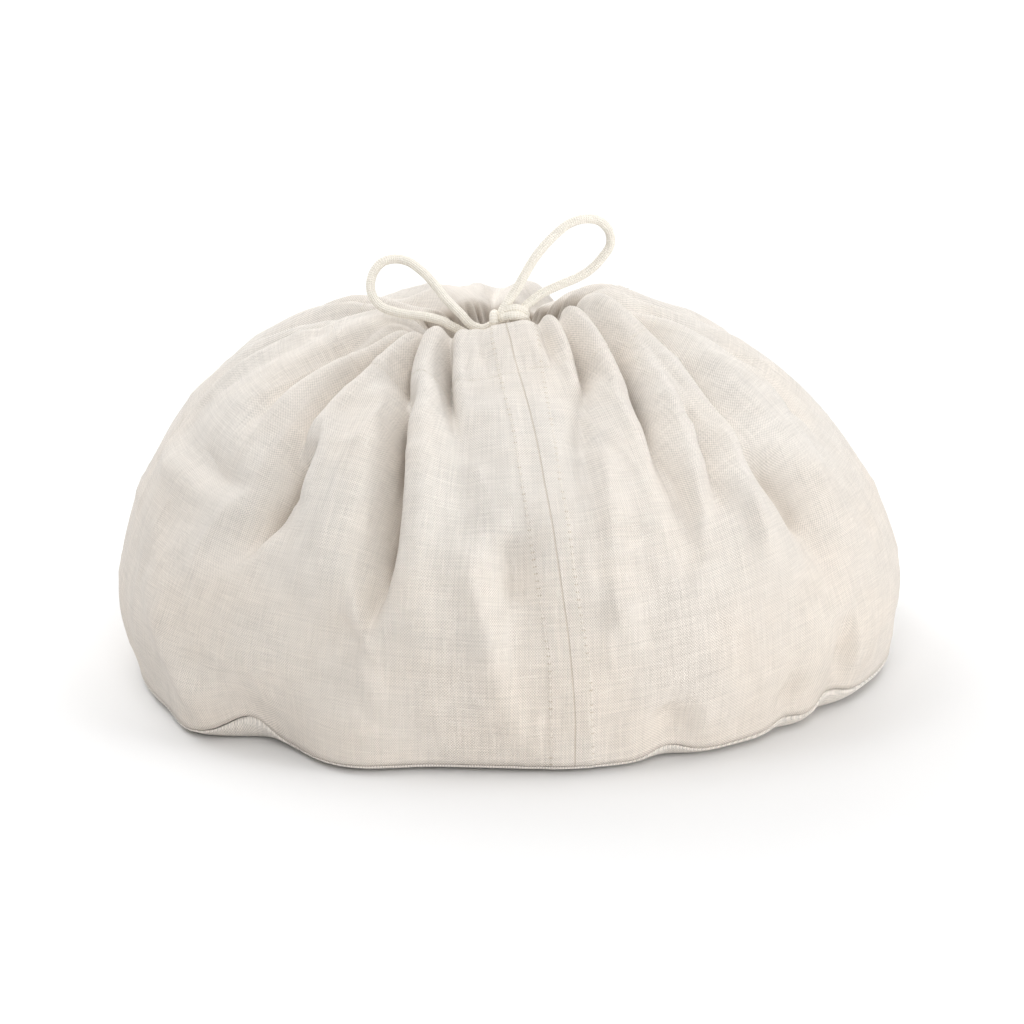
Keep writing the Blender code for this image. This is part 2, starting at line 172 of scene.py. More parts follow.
HEM_WAVES = (
    HemWave(-53, 6, 0, 6),
    HemWave(-44, -3, 9, 4),
    HemWave(-38, -5, 0, 5),
    HemWave(-25, 8, 0, 8),
    HemWave(9, 3, 0, 12),
    HemWave(26, -2, 4, 4),
    HemWave(48, -2, 2, 3),
    HemWave(59, -3, 4, 4),
    HemWave(120, -2, 3, 6),
    HemWave(170, -3, 4, 6),
    HemWave(-130, -2, 3, 6),
)


class Crease(NamedTuple):
    """Crease along a line of (azimuth, arc): height (under 0 a valley), widths of its two sides."""

    name: str
    height: float
    left: float
    right: float
    line: tuple


CREASES = (
    Crease("far_left_ridge", 2, 9, 14, (
           (-90, 45), (-85, 80), (-83, 98), (-79, 114), (-75, 125), (-71, 142), (-62, 158), (-57,
           172), (-51, 181), (-47, 195))),
    Crease("far_left_valley", -2.2, 5, 7, (
           (-115, 36), (-85, 38), (-83, 62), (-82, 85), (-83, 109), (-79, 124))),
    Crease("slack_ridge", 2.5, 4, 10, (
           (-67, 6), (-65, 28), (-60, 52), (-56, 73), (-54, 92), (-54, 109), (-56, 130), (-57,
           144), (-54, 157), (-54, 170))),
    Crease("slack_valley", -2.5, 9, 3.5, ((-74, 106), (-64, 110), (-55, 111), (-52, 102))),
    Crease("left_pocket", -5, 9, 3, ((-47, 78), (-48, 92), (-42, 109), (-43, 122), (-45, 131))),
    Crease("left_pocket_edge", 2.5, 2.5, 8, (
           (-47, 61), (-45, 78), (-42, 91), (-41, 101), (-40, 111), (-40, 123))),
    Crease("front_gap", -4, 5, 2.2, (
           (-47, 20), (-28, 51), (-24, 73), (-26, 82), (-25, 101), (-24, 117), (-21, 134))),
    Crease("front_gap_edge", 2.5, 2, 9, (
           (-41, 15), (-29, 42), (-23, 67), (-20, 88), (-19, 105), (-19, 119))),
    Crease("low_left_hollow", -2.5, 8, 3, ((-30, 145), (-27, 155), (-23, 165), (-22, 173))),
    Crease("low_left_edge", 2, 2.5, 9, ((-28, 134), (-26, 147), (-23, 160), (-21, 172))),
    Crease("front_ridge", 2, 9, 4, ((-8, 117), (-5, 140), (-3, 157), (0, 171))),
    Crease("front_hollow", -3, 9, 7, ((-2, 110), (0, 124), (2, 142))),
    Crease("short_gather", -3, 4, 3, ((-34, 7), (-27, 23), (-17, 46), (-13, 70), (-13, 86))),
    Crease("right_edge", 2.5, 9, 2.2, (
           (53, 9), (49, 23), (42, 38), (35, 54), (32, 70), (32, 85), (34, 93))),
    Crease("right_gap", -4, 2.5, 7, ((67, 17), (60, 29), (40, 52), (36, 66), (35, 78))),
    Crease("beside_seam", -3, 8, 6, ((25, 40), (21, 63), (19, 81))),
    Crease("slope_valley", -3, 3, 5, ((54, 66), (46, 79), (44, 89), (44, 101))),
    Crease("slope_ridge", 2.2, 2.5, 6, ((49, 72), (43, 89), (38, 104), (36, 118), (33, 131))),
    Crease("shoulder_valley", -3, 4, 4, ((66, 33), (59, 52), (57, 68), (54, 85), (55, 97))),
    Crease("shoulder_ridge", 2.2, 2.5, 6, ((51, 101), (47, 118), (45, 130), (44, 143))),
    Crease("shoulder_hollow", -4, 4, 10, ((58, 103), (58, 116), (58, 131), (57, 146))),
    Crease("far_right_valley", -2.5, 5, 5, ((89, 87), (74, 102), (73, 120), (76, 136))),
    Crease("far_right_ridge", 1.5, 5, 5, ((72, 54), (75, 82), (71, 107), (64, 129), (63, 147))),
    Crease("fine_ridge", 1.5, 4, 4, ((24, 78), (19, 99), (18, 116), (18, 128))),
    Crease("fine_ridge_low", 1.5, 4, 4, ((17, 135), (17, 145), (18, 156))),
    Crease("right_hollow", -2, 10, 10, ((25, 114), (23, 141))),
    Crease("right_hollow_low", -2, 8, 8, ((20, 146), (24, 162))),
    Crease("tuck", 2.5, 2, 8, ((59, 183), (62, 202), (63, 221))),
    Crease("small_tuck", -2, 3, 3, ((46, 204), (49, 221))),
    Crease("hem_hollow", -2.5, 6, 6, ((24, 190), (26, 210))),
)


class MouthNotch(NamedTuple):
    """Crevice between two lobes of the gathered rim: azimuth and depth in mm."""

    azimuth: float
    depth: float


MOUTH_NOTCHES = (
    MouthNotch(103, 3.5),
    MouthNotch(122, 5.0),
    MouthNotch(137, 6.0),
    MouthNotch(150, 6.0),
    MouthNotch(161, 8.0),
    MouthNotch(186.5, 9.0),
    MouthNotch(217, 8.0),
    MouthNotch(236, 5.5),
    MouthNotch(254, 4.0),
)


class LipPleat(NamedTuple):
    """Fine pleat in the lip that hangs into the mouth: azimuth, half width and depth in mm."""

    azimuth: float
    width: float
    depth: float


LIP_PLEATS = (
    LipPleat(-149, 0.8, 4.0), LipPleat(-154, 0.8, 4.5), LipPleat(-160, 0.9, 4.5),
    LipPleat(-167, 1.0, 4.0), LipPleat(179, 0.9, 2.2), LipPleat(171, 0.9, 2.6),
    LipPleat(155.5, 0.8, 2.4), LipPleat(144, 0.8, 2.4), LipPleat(130, 0.9, 2.4),
    LipPleat(114, 0.9, 2.2), LipPleat(96, 0.9, 2.0), LipPleat(-133, 0.9, 2.4),
    LipPleat(-115, 0.9, 2.2), LipPleat(-97, 0.9, 2.0),
)

# Usual distance from the bag's axis at each arc from the crown, both in mm
RADIUS_AT_ARC = ((0, 35), (60, 90), (150, 150), (220, 160))

# Lines of sewing: (arc from the crown in mm, azimuth in degrees) down the upright seam
SEAM_LINE = ((-14, 2.5), (6, 3.2), (14, 4.6), (30, 6), (40, 6.6), (55, 7.2), (90, 7.3), (120, 8),
             (140, 8.6), (156, 9.2), (172, 9.6), (188, 10), (240, 10))
LEFT_STITCH_LINE = ((-14, -12), (10, -7), (19, -4.4), (32, -2), (39, -1), (48, 0), (60, 1.3),
                    (90, 2.4), (121, 3.8), (140, 4.8), (165, 6), (240, 6.4))
RIGHT_STITCH_LINE = ((-14, 28), (12, 21.4), (23, 18.2), (35, 15.6), (48, 13.8), (66, 12.2),
                     (90, 10.8), (127, 10.8), (143, 11.2), (170, 12.4), (240, 13.4))
# Row under the casing: (azimuth, arc)
CASING_ROW = ((-180, 31), (-60, 31), (-35, 33), (-13, 35.4), (-2, 33.7), (4, 32.5), (14, 29.4),
              (20, 29.5), (30, 27.5), (44, 29.5), (70, 31), (180, 31))

# Cord routes in mm, from the knot round each loop and back to it
LEFT_LOOP = (
    (-7.5, -22.0, 154.8), (-12.0, -21.0, 152.4), (-16.2, -20.6, 153.4), (-21.8, -19.0, 158.6),
    (-27.8, -15.0, 163.8), (-32.1, -10.0, 168.2), (-38.4, -4.5, 173.6), (-44.6, -1.0, 177.0),
    (-49.3, 0.0, 177.7), (-54.8, -1.0, 176.6), (-59.0, -3.0, 171.9), (-59.8, -6.0, 165.2),
    (-56.5, -9.0, 160.0), (-48.2, -12.0, 157.2), (-42.2, -14.0, 156.6), (-35.8, -16.5, 156.4),
    (-29.9, -18.0, 155.2), (-23.9, -18.4, 152.0), (-17.0, -17.4, 148.4), (-10.0, -17.4, 147.6),
    (-3.2, -21.0, 151.7),
)
RIGHT_LOOP = (
    (-3.0, -20.4, 161.8), (-0.6, -18.8, 165.0), (2.0, -17.8, 168.8), (4.8, -16.5, 173.6),
    (10.5, -13.5, 182.4), (14.3, -12.0, 186.7), (18.9, -10.0, 191.0), (24.6, -8.4, 194.9),
    (30.7, -7.0, 196.4), (36.4, -5.7, 195.4), (40.9, -5.0, 190.8), (41.6, -5.0, 185.4),
    (37.6, -5.5, 178.9), (33.0, -6.2, 174.3), (28.3, -7.5, 171.6), (20.0, -10.4, 168.7),
    (12.0, -13.6, 165.4), (6.2, -17.0, 161.6),
)


# ---------------------------------------------------------------- small maths


def smooth(value: np.ndarray) -> np.ndarray:
    """Ease from 0 to 1 with level ends."""
    t = np.clip(value, 0.0, 1.0)
    return t * t * (3.0 - 2.0 * t)


def turn(degrees: np.ndarray) -> np.ndarray:
    """Angle brought into -180..180."""
    return (np.asarray(degrees, float) + 180.0) % 360.0 - 180.0


def hermite(t: np.ndarray, span: np.ndarray, start: np.ndarray, slope_start: np.ndarray,
            end: np.ndarray, slope_end: np.ndarray) -> np.ndarray:
    """Cubic between two values with given slopes.

    Args:
        t: Share of the way, 0 to 1.
        span: Length of the way in the slopes' units.
        start: Value at 0.
        slope_start: Slope at 0.
        end: Value at 1.
        slope_end: Slope at 1.

    Returns:
        The cubic's values.
    """
    t2, t3 = t * t, t * t * t
    return ((2 * t3 - 3 * t2 + 1) * start + (t3 - 2 * t2 + t) * span * slope_start
            + (3 * t2 - 2 * t3) * end + (t3 - t2) * span * slope_end)


def smooth_line(points: np.ndarray, steps: int) -> np.ndarray:
    """Curve through the points of each line, its slopes weighted by the distances.

    Args:
        points: Array (..., points, axes).
        steps: Steps between two neighbouring points.

    Returns:
        Array (..., (points - 1) * steps + 1, axes).
    """
    first = 2 * points[..., :1, :] - points[..., 1:2, :]
    last = 2 * points[..., -1:, :] - points[..., -2:-1, :]
    chain = np.concatenate([first, points, last], axis=-2)
    chord = np.diff(chain, axis=-2)
    length = np.linalg.norm(chord, axis=-1, keepdims=True)
    rate = chord / length
    before, after = length[..., :-1, :], length[..., 1:, :]
    slope = (rate[..., :-1, :] * after + rate[..., 1:, :] * before) / (before + after)
    pieces = []
    for t in np.arange(steps) / steps:
        pieces.append(hermite(t, after[..., :-1, :], points[..., :-1, :], slope[..., :-1, :],
                              points[..., 1:, :], slope[..., 1:, :]))
    curve = np.stack(pieces, axis=-2)
    curve = curve.reshape(*points.shape[:-2], -1, points.shape[-1])
    return np.concatenate([curve, points[..., -1:, :]], axis=-2)


def run_length(line: np.ndarray) -> np.ndarray:
    """Length from the start of each line to each of its points."""
    steps = np.linalg.norm(np.diff(line, axis=-2), axis=-1)
    return np.concatenate([np.zeros((*steps.shape[:-1], 1)), np.cumsum(steps, axis=-1)], axis=-1)


def along_table(table: tuple, where: np.ndarray) -> np.ndarray:
    """Value of a two-column table at each place in its first column."""
    rows = np.array(table, float)
    return np.interp(where, rows[:, 0], rows[:, 1])


class Unevenness:
    """Smooth random field over azimuth and arc, the same on every run."""

    def __init__(self, seed: int, across: int, down: float) -> None:
        """Draw the field.

        Args:
            seed: Picks the field.
            across: Cells round the bag.
            down: Length of a cell down the bag in mm.
        """
        self.across = across
        self.down = down
        self.cells = np.random.default_rng(seed).uniform(-1.0, 1.0, (across, 64))

    def at(self, azimuth: np.ndarray, arc: np.ndarray) -> np.ndarray:
        """Field's value, -1 to 1, at each place."""
        a = (azimuth % 360) / 360 * self.across
        s = (arc + 40.0) / self.down
        i, j = np.floor(a).astype(int), np.floor(s).astype(int)
        fa, fs = smooth(a - i), smooth(s - j)
        i, k = i % self.across, (i + 1) % self.across
        j, l = j % 64, (j + 1) % 64
        low = self.cells[i, j] * (1 - fs) + self.cells[i, l] * fs
        high = self.cells[k, j] * (1 - fs) + self.cells[k, l] * fs
        return low * (1 - fa) + high * fa


# ---------------------------------------------------------------- meshes


class MeshMaker:
    """Turns grids of points into finished mesh pieces."""

    @staticmethod
    def piece(name: str, points: np.ndarray, faces: list,
              uv: np.ndarray | None = None) -> bpy.types.Object:
        """Mesh object at the origin, shaded smooth.

        Args:
            name: Name of the piece.
            points: Array (n, 3) in metres.
            faces: Corner indices of each face, outward.
            uv: Pattern coordinates of the first faces' corners, if any; the rest get 0.

        Returns:
            The new object.
        """
        mesh = bpy.data.meshes.new(name)
        mesh.from_pydata(points.tolist(), [], faces)
        if uv is not None:
            layer = mesh.uv_layers.new(name="pattern")
            flat = np.zeros(2 * len(mesh.loops), np.float32)
            flat[:uv.size] = uv.reshape(-1)
            layer.data.foreach_set("uv", flat)
        mesh.update()
        mesh.shade_smooth()
        obj = bpy.data.objects.new(name, mesh)
        bpy.context.scene.collection.objects.link(obj)
        return obj

    @staticmethod
    def attribute(obj: bpy.types.Object, name: str, values: np.ndarray) -> None:
        """Store one number a point under a name that the finishes read."""
        layer = obj.data.attributes.new(name, "FLOAT", "POINT")
        layer.data.foreach_set("value", values.reshape(-1).astype(np.float32))

    @staticmethod
    def ring_faces(rows: np.ndarray) -> np.ndarray:
        """Faces between neighbouring rings of one grid.

        Args:
            rows: Array (rings, around) of point indices.

        Returns:
            Array (faces, 4); ring order and turn give the side that faces out.
        """
        ahead = np.roll(rows, -1, axis=1)
        corners = (rows[:-1], rows[1:], ahead[1:], ahead[:-1])
        return np.stack(corners, axis=-1).reshape(-1, 4)

    @staticmethod
    def ring_uv(u: np.ndarray, v: np.ndarray) -> np.ndarray:
        """Pattern coordinates of ring_faces' corners.

        Args:
            u: Value at each place round a ring, and one more that closes the round.
            v: Array (rings, around) of values in metres.

        Returns:
            Array (faces, 4, 2).
        """
        ahead = np.roll(v, -1, axis=1)
        left = np.broadcast_to(u[:-1], v.shape)
        right = np.broadcast_to(u[1:], v.shape)
        corner_u = np.stack((left[:-1], left[1:], right[1:], right[:-1]), axis=-1)
        corner_v = np.stack((v[:-1], v[1:], ahead[1:], ahead[:-1]), axis=-1)
        return np.stack([corner_u, corner_v], axis=-1).reshape(-1, 4, 2)


class Tube:
    """Round cord laid along a smooth route."""

    def __init__(self, route: np.ndarray, radius: float, sides: int, step: float) -> None:
        """Lay the cord.

        Args:
            route: Points (n, 3) in mm that the middle of the cord passes through.
            radius: Cord's radius in mm.
            sides: Points round the cord.
            step: Distance between rings in mm.
        """
        line = smooth_line(np.asarray(route, float), 16)
        length = run_length(line)
        count = max(4, round(length[-1] / step))
        even = np.linspace(0, length[-1], count + 1)
        self.centres = np.stack([np.interp(even, length, line[:, k]) for k in range(3)], axis=-1)
        self.length = float(length[-1])
        self.radius = radius
        self.sides = sides
        self.along = even

    def frames(self) -> tuple[np.ndarray, np.ndarray]:
        """Two directions across the cord at each ring, carried along without twist."""
        tangent = np.gradient(self.centres, axis=0)
        tangent /= np.linalg.norm(tangent, axis=1, keepdims=True)
        side = np.cross(tangent[0], (0.3, 0.2, 1.0))
        sides = []
        for direction in tangent:
            side = side - direction * (side @ direction)
            side = side / np.linalg.norm(side)
            sides.append(side)
        first = np.array(sides)
        return first, np.cross(tangent, first)

    def piece(self, name: str, relief: float, plait: float, strands: float) -> bpy.types.Object:
        """Closed tube with rounded ends and the braid's raised strands.

        Args:
            name: Name of the piece.
            relief: Height of the braid's strands in mm.
            plait: Length in mm of one repeat of the braid.
            strands: Strands that run each way round the cord.

        Returns:
            The tube; its pattern map runs round the cord (U) and along it (V, metres).
        """
        first, second = self.frames()
        angle = np.arange(self.sides) * 2 * math.pi / self.sides
        turns = self.along[:, None] / plait * 2 * math.pi
        braid = np.cos(strands * angle + turns) * np.cos(strands * angle - turns)
        to_end = np.minimum(self.along, self.along[-1] - self.along)[:, None]
        taper = np.sqrt(np.clip(1 - (1 - np.clip(to_end / self.radius, 0.02, 1)) ** 2, 0, 1))
        radius = (self.radius - relief / 2 + relief / 2 * braid) * taper
        around = first[:, None] * np.cos(angle)[:, None] + second[:, None] * np.sin(angle)[:, None]
        rings = self.centres[:, None] + around * radius[..., None]
        count = len(self.centres)
        points = np.concatenate([rings.reshape(-1, 3), self.centres[:1], self.centres[-1:]])
        rows = np.arange(count * self.sides).reshape(count, self.sides)
        faces = MeshMaker.ring_faces(rows)[:, ::-1].tolist()
        share = np.arange(self.sides + 1) / self.sides
        uv = MeshMaker.ring_uv(share, np.broadcast_to((self.along * MM)[:, None], rows.shape))
        for tip, ring in ((len(points) - 2, rows[0][::-1]), (len(points) - 1, rows[-1])):
            caps = np.column_stack([ring, np.roll(ring, -1), np.full(self.sides, tip)])
            faces += caps.tolist()
        return MeshMaker.piece(name, points * MM, faces, uv[:, ::-1])


# ---------------------------------------------------------------- shader expressions


class Maths(Enum):
    """Operations of a Math node that the finishes use."""

    ADD = "ADD"
    SUBTRACT = "SUBTRACT"
    MULTIPLY = "MULTIPLY"
    DIVIDE = "DIVIDE"
    POWER = "POWER"
    FLOOR = "FLOOR"
    FRACT = "FRACT"
    SINE = "SINE"
    ABSOLUTE = "ABSOLUTE"
    MAXIMUM = "MAXIMUM"
    LOGARITHM = "LOGARITHM"


def operation(kind: Maths, swapped: bool = False) -> Callable:
    """Method of Value that adds one Math node.

    Args:
        kind: The node's operation.
        swapped: Whether the other value comes first.

    Returns:
        The method.
    """
    def method(self: "Value", *others: "Value | float") -> "Value":
        """Add the node and give its result."""
        values = (*others, self) if swapped else (self, *others)
        return self.recipe.maths(kind, *values)
    return method


class Value:
    """Number socket whose sums and products add Math nodes."""

    def __init__(self, recipe: "Recipe", socket: bpy.types.NodeSocket) -> None:
        """Wrap a socket of the recipe's node tree."""
        self.recipe = recipe
        self.socket = socket

    __add__ = __radd__ = operation(Maths.ADD)
    __sub__ = operation(Maths.SUBTRACT)
    __rsub__ = operation(Maths.SUBTRACT, swapped=True)
    __mul__ = __rmul__ = operation(Maths.MULTIPLY)
    __truediv__ = operation(Maths.DIVIDE)
    __rpow__ = operation(Maths.POWER, swapped=True)
    floor = operation(Maths.FLOOR)
    fract = operation(Maths.FRACT)
    sine = operation(Maths.SINE)
    size = operation(Maths.ABSOLUTE)
    most = operation(Maths.MAXIMUM)

    def eased(self, low: float, high: float) -> "Value":
        """0 below low, 1 above high, eased between."""
        node = self.recipe.node("ShaderNodeMapRange", {"interpolation_type": "SMOOTHSTEP"},
                                {0: self, 1: low, 2: high, 3: 0.0, 4: 1.0})
        return Value(self.recipe, node.outputs[0])


class Recipe:
    """Builds the nodes of one material round its Principled shader."""

    def __init__(self, name: str) -> None:
        """Start an empty material with its shader and output."""
        self.material = bpy.data.materials.new(name)
        self.material.use_nodes = True
        self.tree = self.material.node_tree
        self.shader = self.tree.nodes["Principled BSDF"]

    def node(self, kind: str, settings: dict | None = None,
             sockets: dict | None = None) -> bpy.types.Node:
        """Add one node.

        Args:
            kind: Node's type name.
            settings: Its properties, set before its sockets.
            sockets: Values or links by socket name or number.

        Returns:
            The node.
        """
        node = self.tree.nodes.new(kind)
        for key, value in (settings or {}).items():
            setattr(node, key, value)
        for key, value in (sockets or {}).items():
            self.feed(node.inputs[key], value)
        return node

    def feed(self, socket: bpy.types.NodeSocket, value: object) -> None:
        """Give a socket a plain value or a link."""
        if isinstance(value, Value):
            self.tree.links.new(value.socket, socket)
        elif isinstance(value, bpy.types.NodeSocket):
            self.tree.links.new(value, socket)
        else:
            socket.default_value = value

    def maths(self, operation: Maths, *values: "Value | float") -> Value:
        """Math node on its values."""
        node = self.node("ShaderNodeMath", {"operation": operation.value},
                         dict(enumerate(values)))
        return Value(self, node.outputs[0])

    def attribute(self, name: str) -> Value:
        """Number stored on the piece's points."""
        node = self.node("ShaderNodeAttribute", {"attribute_name": name})
        return Value(self, node.outputs["Fac"])

    def pattern(self) -> tuple[Value, Value]:
        """The piece's pattern map, as its two numbers."""
        uv = self.node("ShaderNodeUVMap", {"uv_map": "pattern"})
        parts = self.node("ShaderNodeSeparateXYZ", None, {0: uv.outputs[0]})
        return Value(self, parts.outputs[0]), Value(self, parts.outputs[1])

    def joined(self, x: "Value | float", y: "Value | float",
               z: "Value | float" = 0.0) -> bpy.types.NodeSocket:
        """Vector from three numbers."""
        return self.node("ShaderNodeCombineXYZ", None, {0: x, 1: y, 2: z}).outputs[0]

    def place(self) -> bpy.types.NodeSocket:
        """Place on the piece, in metres."""
        return self.node("ShaderNodeTexCoord").outputs["Object"]

    def noise(self, vector: bpy.types.NodeSocket, scale: float, detail: float = 2.0,
              roughness: float = 0.5) -> Value:
        """Noise of 0 to 1 at a place."""
        node = self.node("ShaderNodeTexNoise", {"noise_dimensions": "3D"},
                         {"Vector": vector, "Scale": scale, "Detail": detail,
                          "Roughness": roughness})
        return Value(self, node.outputs[0])

    def mixed(self, factor: "Value | float", first: object, second: object,
              blend: str = "MIX") -> bpy.types.NodeSocket:
        """Colour between two colours."""
        node = self.node("ShaderNodeMix", {"data_type": "RGBA", "blend_type": blend},
                         {0: factor, 6: first, 7: second})
        return node.outputs[2]

    def raised(self, height: Value, distance: float, strength: float = 1.0) -> None:
        """Raise the surface by a height of 0 to 1, over a distance in metres."""
        bump = self.node("ShaderNodeBump", None,
                         {"Strength": strength, "Distance": distance, "Height": height})
        self.feed(self.shader.inputs["Normal"], bump.outputs[0])


# ---------------------------------------------------------------- finishes


@dataclass(frozen=True)
class LinenFinish:
    """Natural linen in plain weave: uneven threads, slubs, faint patches, painted shade in the
    folds, inside the back rim and low down.
    """

    name: str
    colour: tuple = (0.715, 0.668, 0.613, 1.0)
    cool: tuple = (0.700, 0.668, 0.626, 1.0)
    warm: tuple = (0.730, 0.668, 0.598, 1.0)
    slub: tuple = (0.86, 0.82, 0.76, 1.0)
    shade: tuple = (0.50, 0.41, 0.31, 1.0)
    # Painted shade: colour of the cloth deep in folds and crevices and inside the back rim
    deep: tuple = (0.36, 0.29, 0.22, 1.0)
    # Painted shade: tint multiplied in towards the bottom of the wall, darker and warmer low down
    low: tuple = (0.97, 0.90, 0.83, 1.0)
    thread_across: float = 0.50
    thread_down: float = 0.58
    first_spread: float = 20.0
    stitch: float = 3.0
    seam_edge: tuple = (0.12, 0.45)
    hole_edge: tuple = (0.35, 0.9)
    hole_run: tuple = (0.10, 0.42)
    # Arcs (m) from the crown over which the painted low shade comes in
    low_shade_start: float = 0.09
    low_shade_end: float = 0.19
    roughness: float = 0.88
    sewn: bool = True

    def threads(self, recipe: Recipe, across: Value, down: Value,
                seed: "Value | float") -> tuple[Value, Value, Value]:
        """Weave at a place on the cloth, in threads.

        Args:
            recipe: The material's recipe.
            across: Threads counted round the bag.
            down: Threads counted down the bag.
            seed: Shifts the unevenness.

        Returns:
            Height of the weave, thread tint and slubs, each 0 to 1.
        """
        wobble = recipe.noise(recipe.joined(across * 0.07, down * 0.07, seed), 1.0, 1.0)
        wave_across = ((across + wobble * 1.4) * math.pi).sine()
        wave_down = ((down + wobble * 1.4) * math.pi).sine()
        swing = 0.30 + recipe.noise(recipe.joined(across * 0.11, down * 0.11, seed + 11.0),
                                    1.0, 1.0) * 0.42
        height = wave_across * wave_down * swing + 0.5
        upright = recipe.noise(recipe.joined(across * 1.0, down * 0.035, seed), 1.0, 1.0)
        level = recipe.noise(recipe.joined(across * 0.035, down * 1.0, seed + 7.0), 1.0, 1.0)
        tint = upright * 0.5 + level * 0.5
        streak_up = recipe.noise(recipe.joined(across * 0.9, down * 0.10, seed + 3.0), 1.0, 0.0)
        streak_level = recipe.noise(recipe.joined(across * 0.10, down * 0.9, seed + 5.0), 1.0, 0.0)
        slubs = streak_up.most(streak_level).eased(0.70, 0.80)
        return height, tint, slubs

    def material(self) -> bpy.types.Material:
        """Build the linen.

        Returns:
            The material; it reads the pattern map and the points' spread, painted-shade amounts and
            sewing.
        """
        recipe = Recipe(self.name)
        around, arc = recipe.pattern()
        down = arc / (self.thread_down * MM)
        spread = recipe.attribute("spread")
        level = recipe.maths(Maths.LOGARITHM, spread / self.first_spread, math.sqrt(2.0))
        step = level.floor()
        share = level.fract().eased(0.25, 0.75)
        layers = []
        for shift in (0.0, 1.0):
            radius = self.first_spread * (math.sqrt(2.0) ** (step + shift))
            across = around * radius / self.thread_across
            layers.append(self.threads(recipe, across, down, (step + shift) * 13.7))
        height, tint, slubs = (a * (1.0 - share) + b * share for a, b in zip(*layers))
        place = recipe.place()
        patches = recipe.noise(place, 22.0, 3.0, 0.55)
        blotches = recipe.noise(place, 95.0, 2.0, 0.5)
        colour = recipe.mixed(patches.eased(0.35, 0.65), self.cool, self.warm)
        colour = recipe.mixed(0.62, colour, self.colour)
        light = 0.43 + tint * 0.52 + height * 0.46 + blotches * 0.16
        colour = recipe.mixed(1.0, colour, recipe.joined(light, light, light), "MULTIPLY")
        colour = recipe.mixed(slubs * 0.35, colour, self.slub)
        relief = height * 0.55 + tint * 0.35 + slubs * 0.3
        if self.sewn:
            # Painted shade: the wall's colour darkens and warms towards its foot
            painted_low_shade = arc.eased(self.low_shade_start, self.low_shade_end) * 0.34
            colour = recipe.mixed(painted_low_shade, colour, recipe.mixed(1.0, colour, self.low, "MULTIPLY"))
            # Painted shade: darker, browner colour deep in folds and crevices and inside the back
            # rim
            hollow = recipe.attribute("hollow").eased(0.22, 1.0)
            colour = recipe.mixed(hollow * 0.62, colour, self.deep)
            seam = recipe.attribute("seam_distance").size()
            stitch_down = arc / (self.stitch * MM)
            seam_line = 1.0 - seam.eased(*self.seam_edge)
            holes = []
            for line in ("left_distance", "right_distance", "casing_distance"):
                near = 1.0 - recipe.attribute(line).size().eased(*self.hole_edge)
                run = stitch_down
                if line == "casing_distance":
                    run = recipe.attribute("run") / self.stitch
                hole = (run * math.pi).sine().size().eased(*self.hole_run)
                holes.append(near * (1.0 - hole))
            marks = holes[0].most(holes[1]).most(holes[2] * 0.45)
            uneven = recipe.noise(place, 160.0, 1.0).eased(0.3, 0.62)
            marks = marks * uneven
            dark = (seam_line * 0.42).most(marks * 0.85)
            colour = recipe.mixed(dark, colour, self.shade)
            relief = relief - seam_line * 1.8 - marks * 1.6
        recipe.feed(recipe.shader.inputs["Base Color"], colour)
        recipe.shader.inputs["Roughness"].default_value = self.roughness
        recipe.shader.inputs["Specular IOR Level"].default_value = 0.25
        recipe.shader.inputs["Sheen Weight"].default_value = 0.12
        recipe.shader.inputs["Sheen Roughness"].default_value = 0.6
        recipe.raised(relief, 0.00016, 0.8)
        return recipe.material


@dataclass(frozen=True)
class CottonCordFinish:
    """Cream braided cotton: strands crossing in small diamonds, shaded between them."""

    name: str
    colour: tuple = (0.93, 0.885, 0.80, 1.0)
    gap: tuple = (0.80, 0.71, 0.58, 1.0)
    strands: float = 7.0
    plait: float = 1.9
    roughness: float = 0.85

    def material(self) -> bpy.types.Material:
        """Build the braided cotton."""
        recipe = Recipe(self.name)
        around, along = recipe.pattern()
        turns = around * (2 * math.pi * self.strands)
        run = along / (self.plait * MM) * (2 * math.pi)
        one = (turns + run + math.pi / 2).sine()
        other = (turns - run + math.pi / 2).sine()
        fibre = recipe.noise(recipe.joined(around * 60.0, along * 2600.0), 1.0, 2.0)
        strands = one * other * 0.5 + 0.5
        low = (1.0 - strands.eased(0.0, 0.5)) * 0.42
        colour = recipe.mixed(low, self.colour, self.gap)
        light = 0.94 + fibre * 0.10
        colour = recipe.mixed(1.0, colour, recipe.joined(light, light, light), "MULTIPLY")
        recipe.feed(recipe.shader.inputs["Base Color"], colour)
        recipe.shader.inputs["Roughness"].default_value = self.roughness
        recipe.shader.inputs["Specular IOR Level"].default_value = 0.25
        recipe.raised(strands * 0.8 + fibre * 0.2, 0.00035, 0.9)
        return recipe.material


@dataclass(frozen=True)
class ThreadFinish:
    """Sewing thread: a shade lighter than the cloth, faintly twisted."""

    name: str
    colour: tuple = (0.78, 0.73, 0.66, 1.0)
    roughness: float = 0.7

    def material(self) -> bpy.types.Material:
        """Build the thread."""
        recipe = Recipe(self.name)
        twist = recipe.noise(recipe.place(), 5200.0, 1.0)
        light = 0.9 + twist * 0.2
        colour = recipe.mixed(1.0, self.colour, recipe.joined(light, light, light), "MULTIPLY")
        recipe.feed(recipe.shader.inputs["Base Color"], colour)
        recipe.shader.inputs["Roughness"].default_value = self.roughness
        recipe.raised(twist, 0.00005, 0.6)
        return recipe.material


# ---------------------------------------------------------------- draped cloth


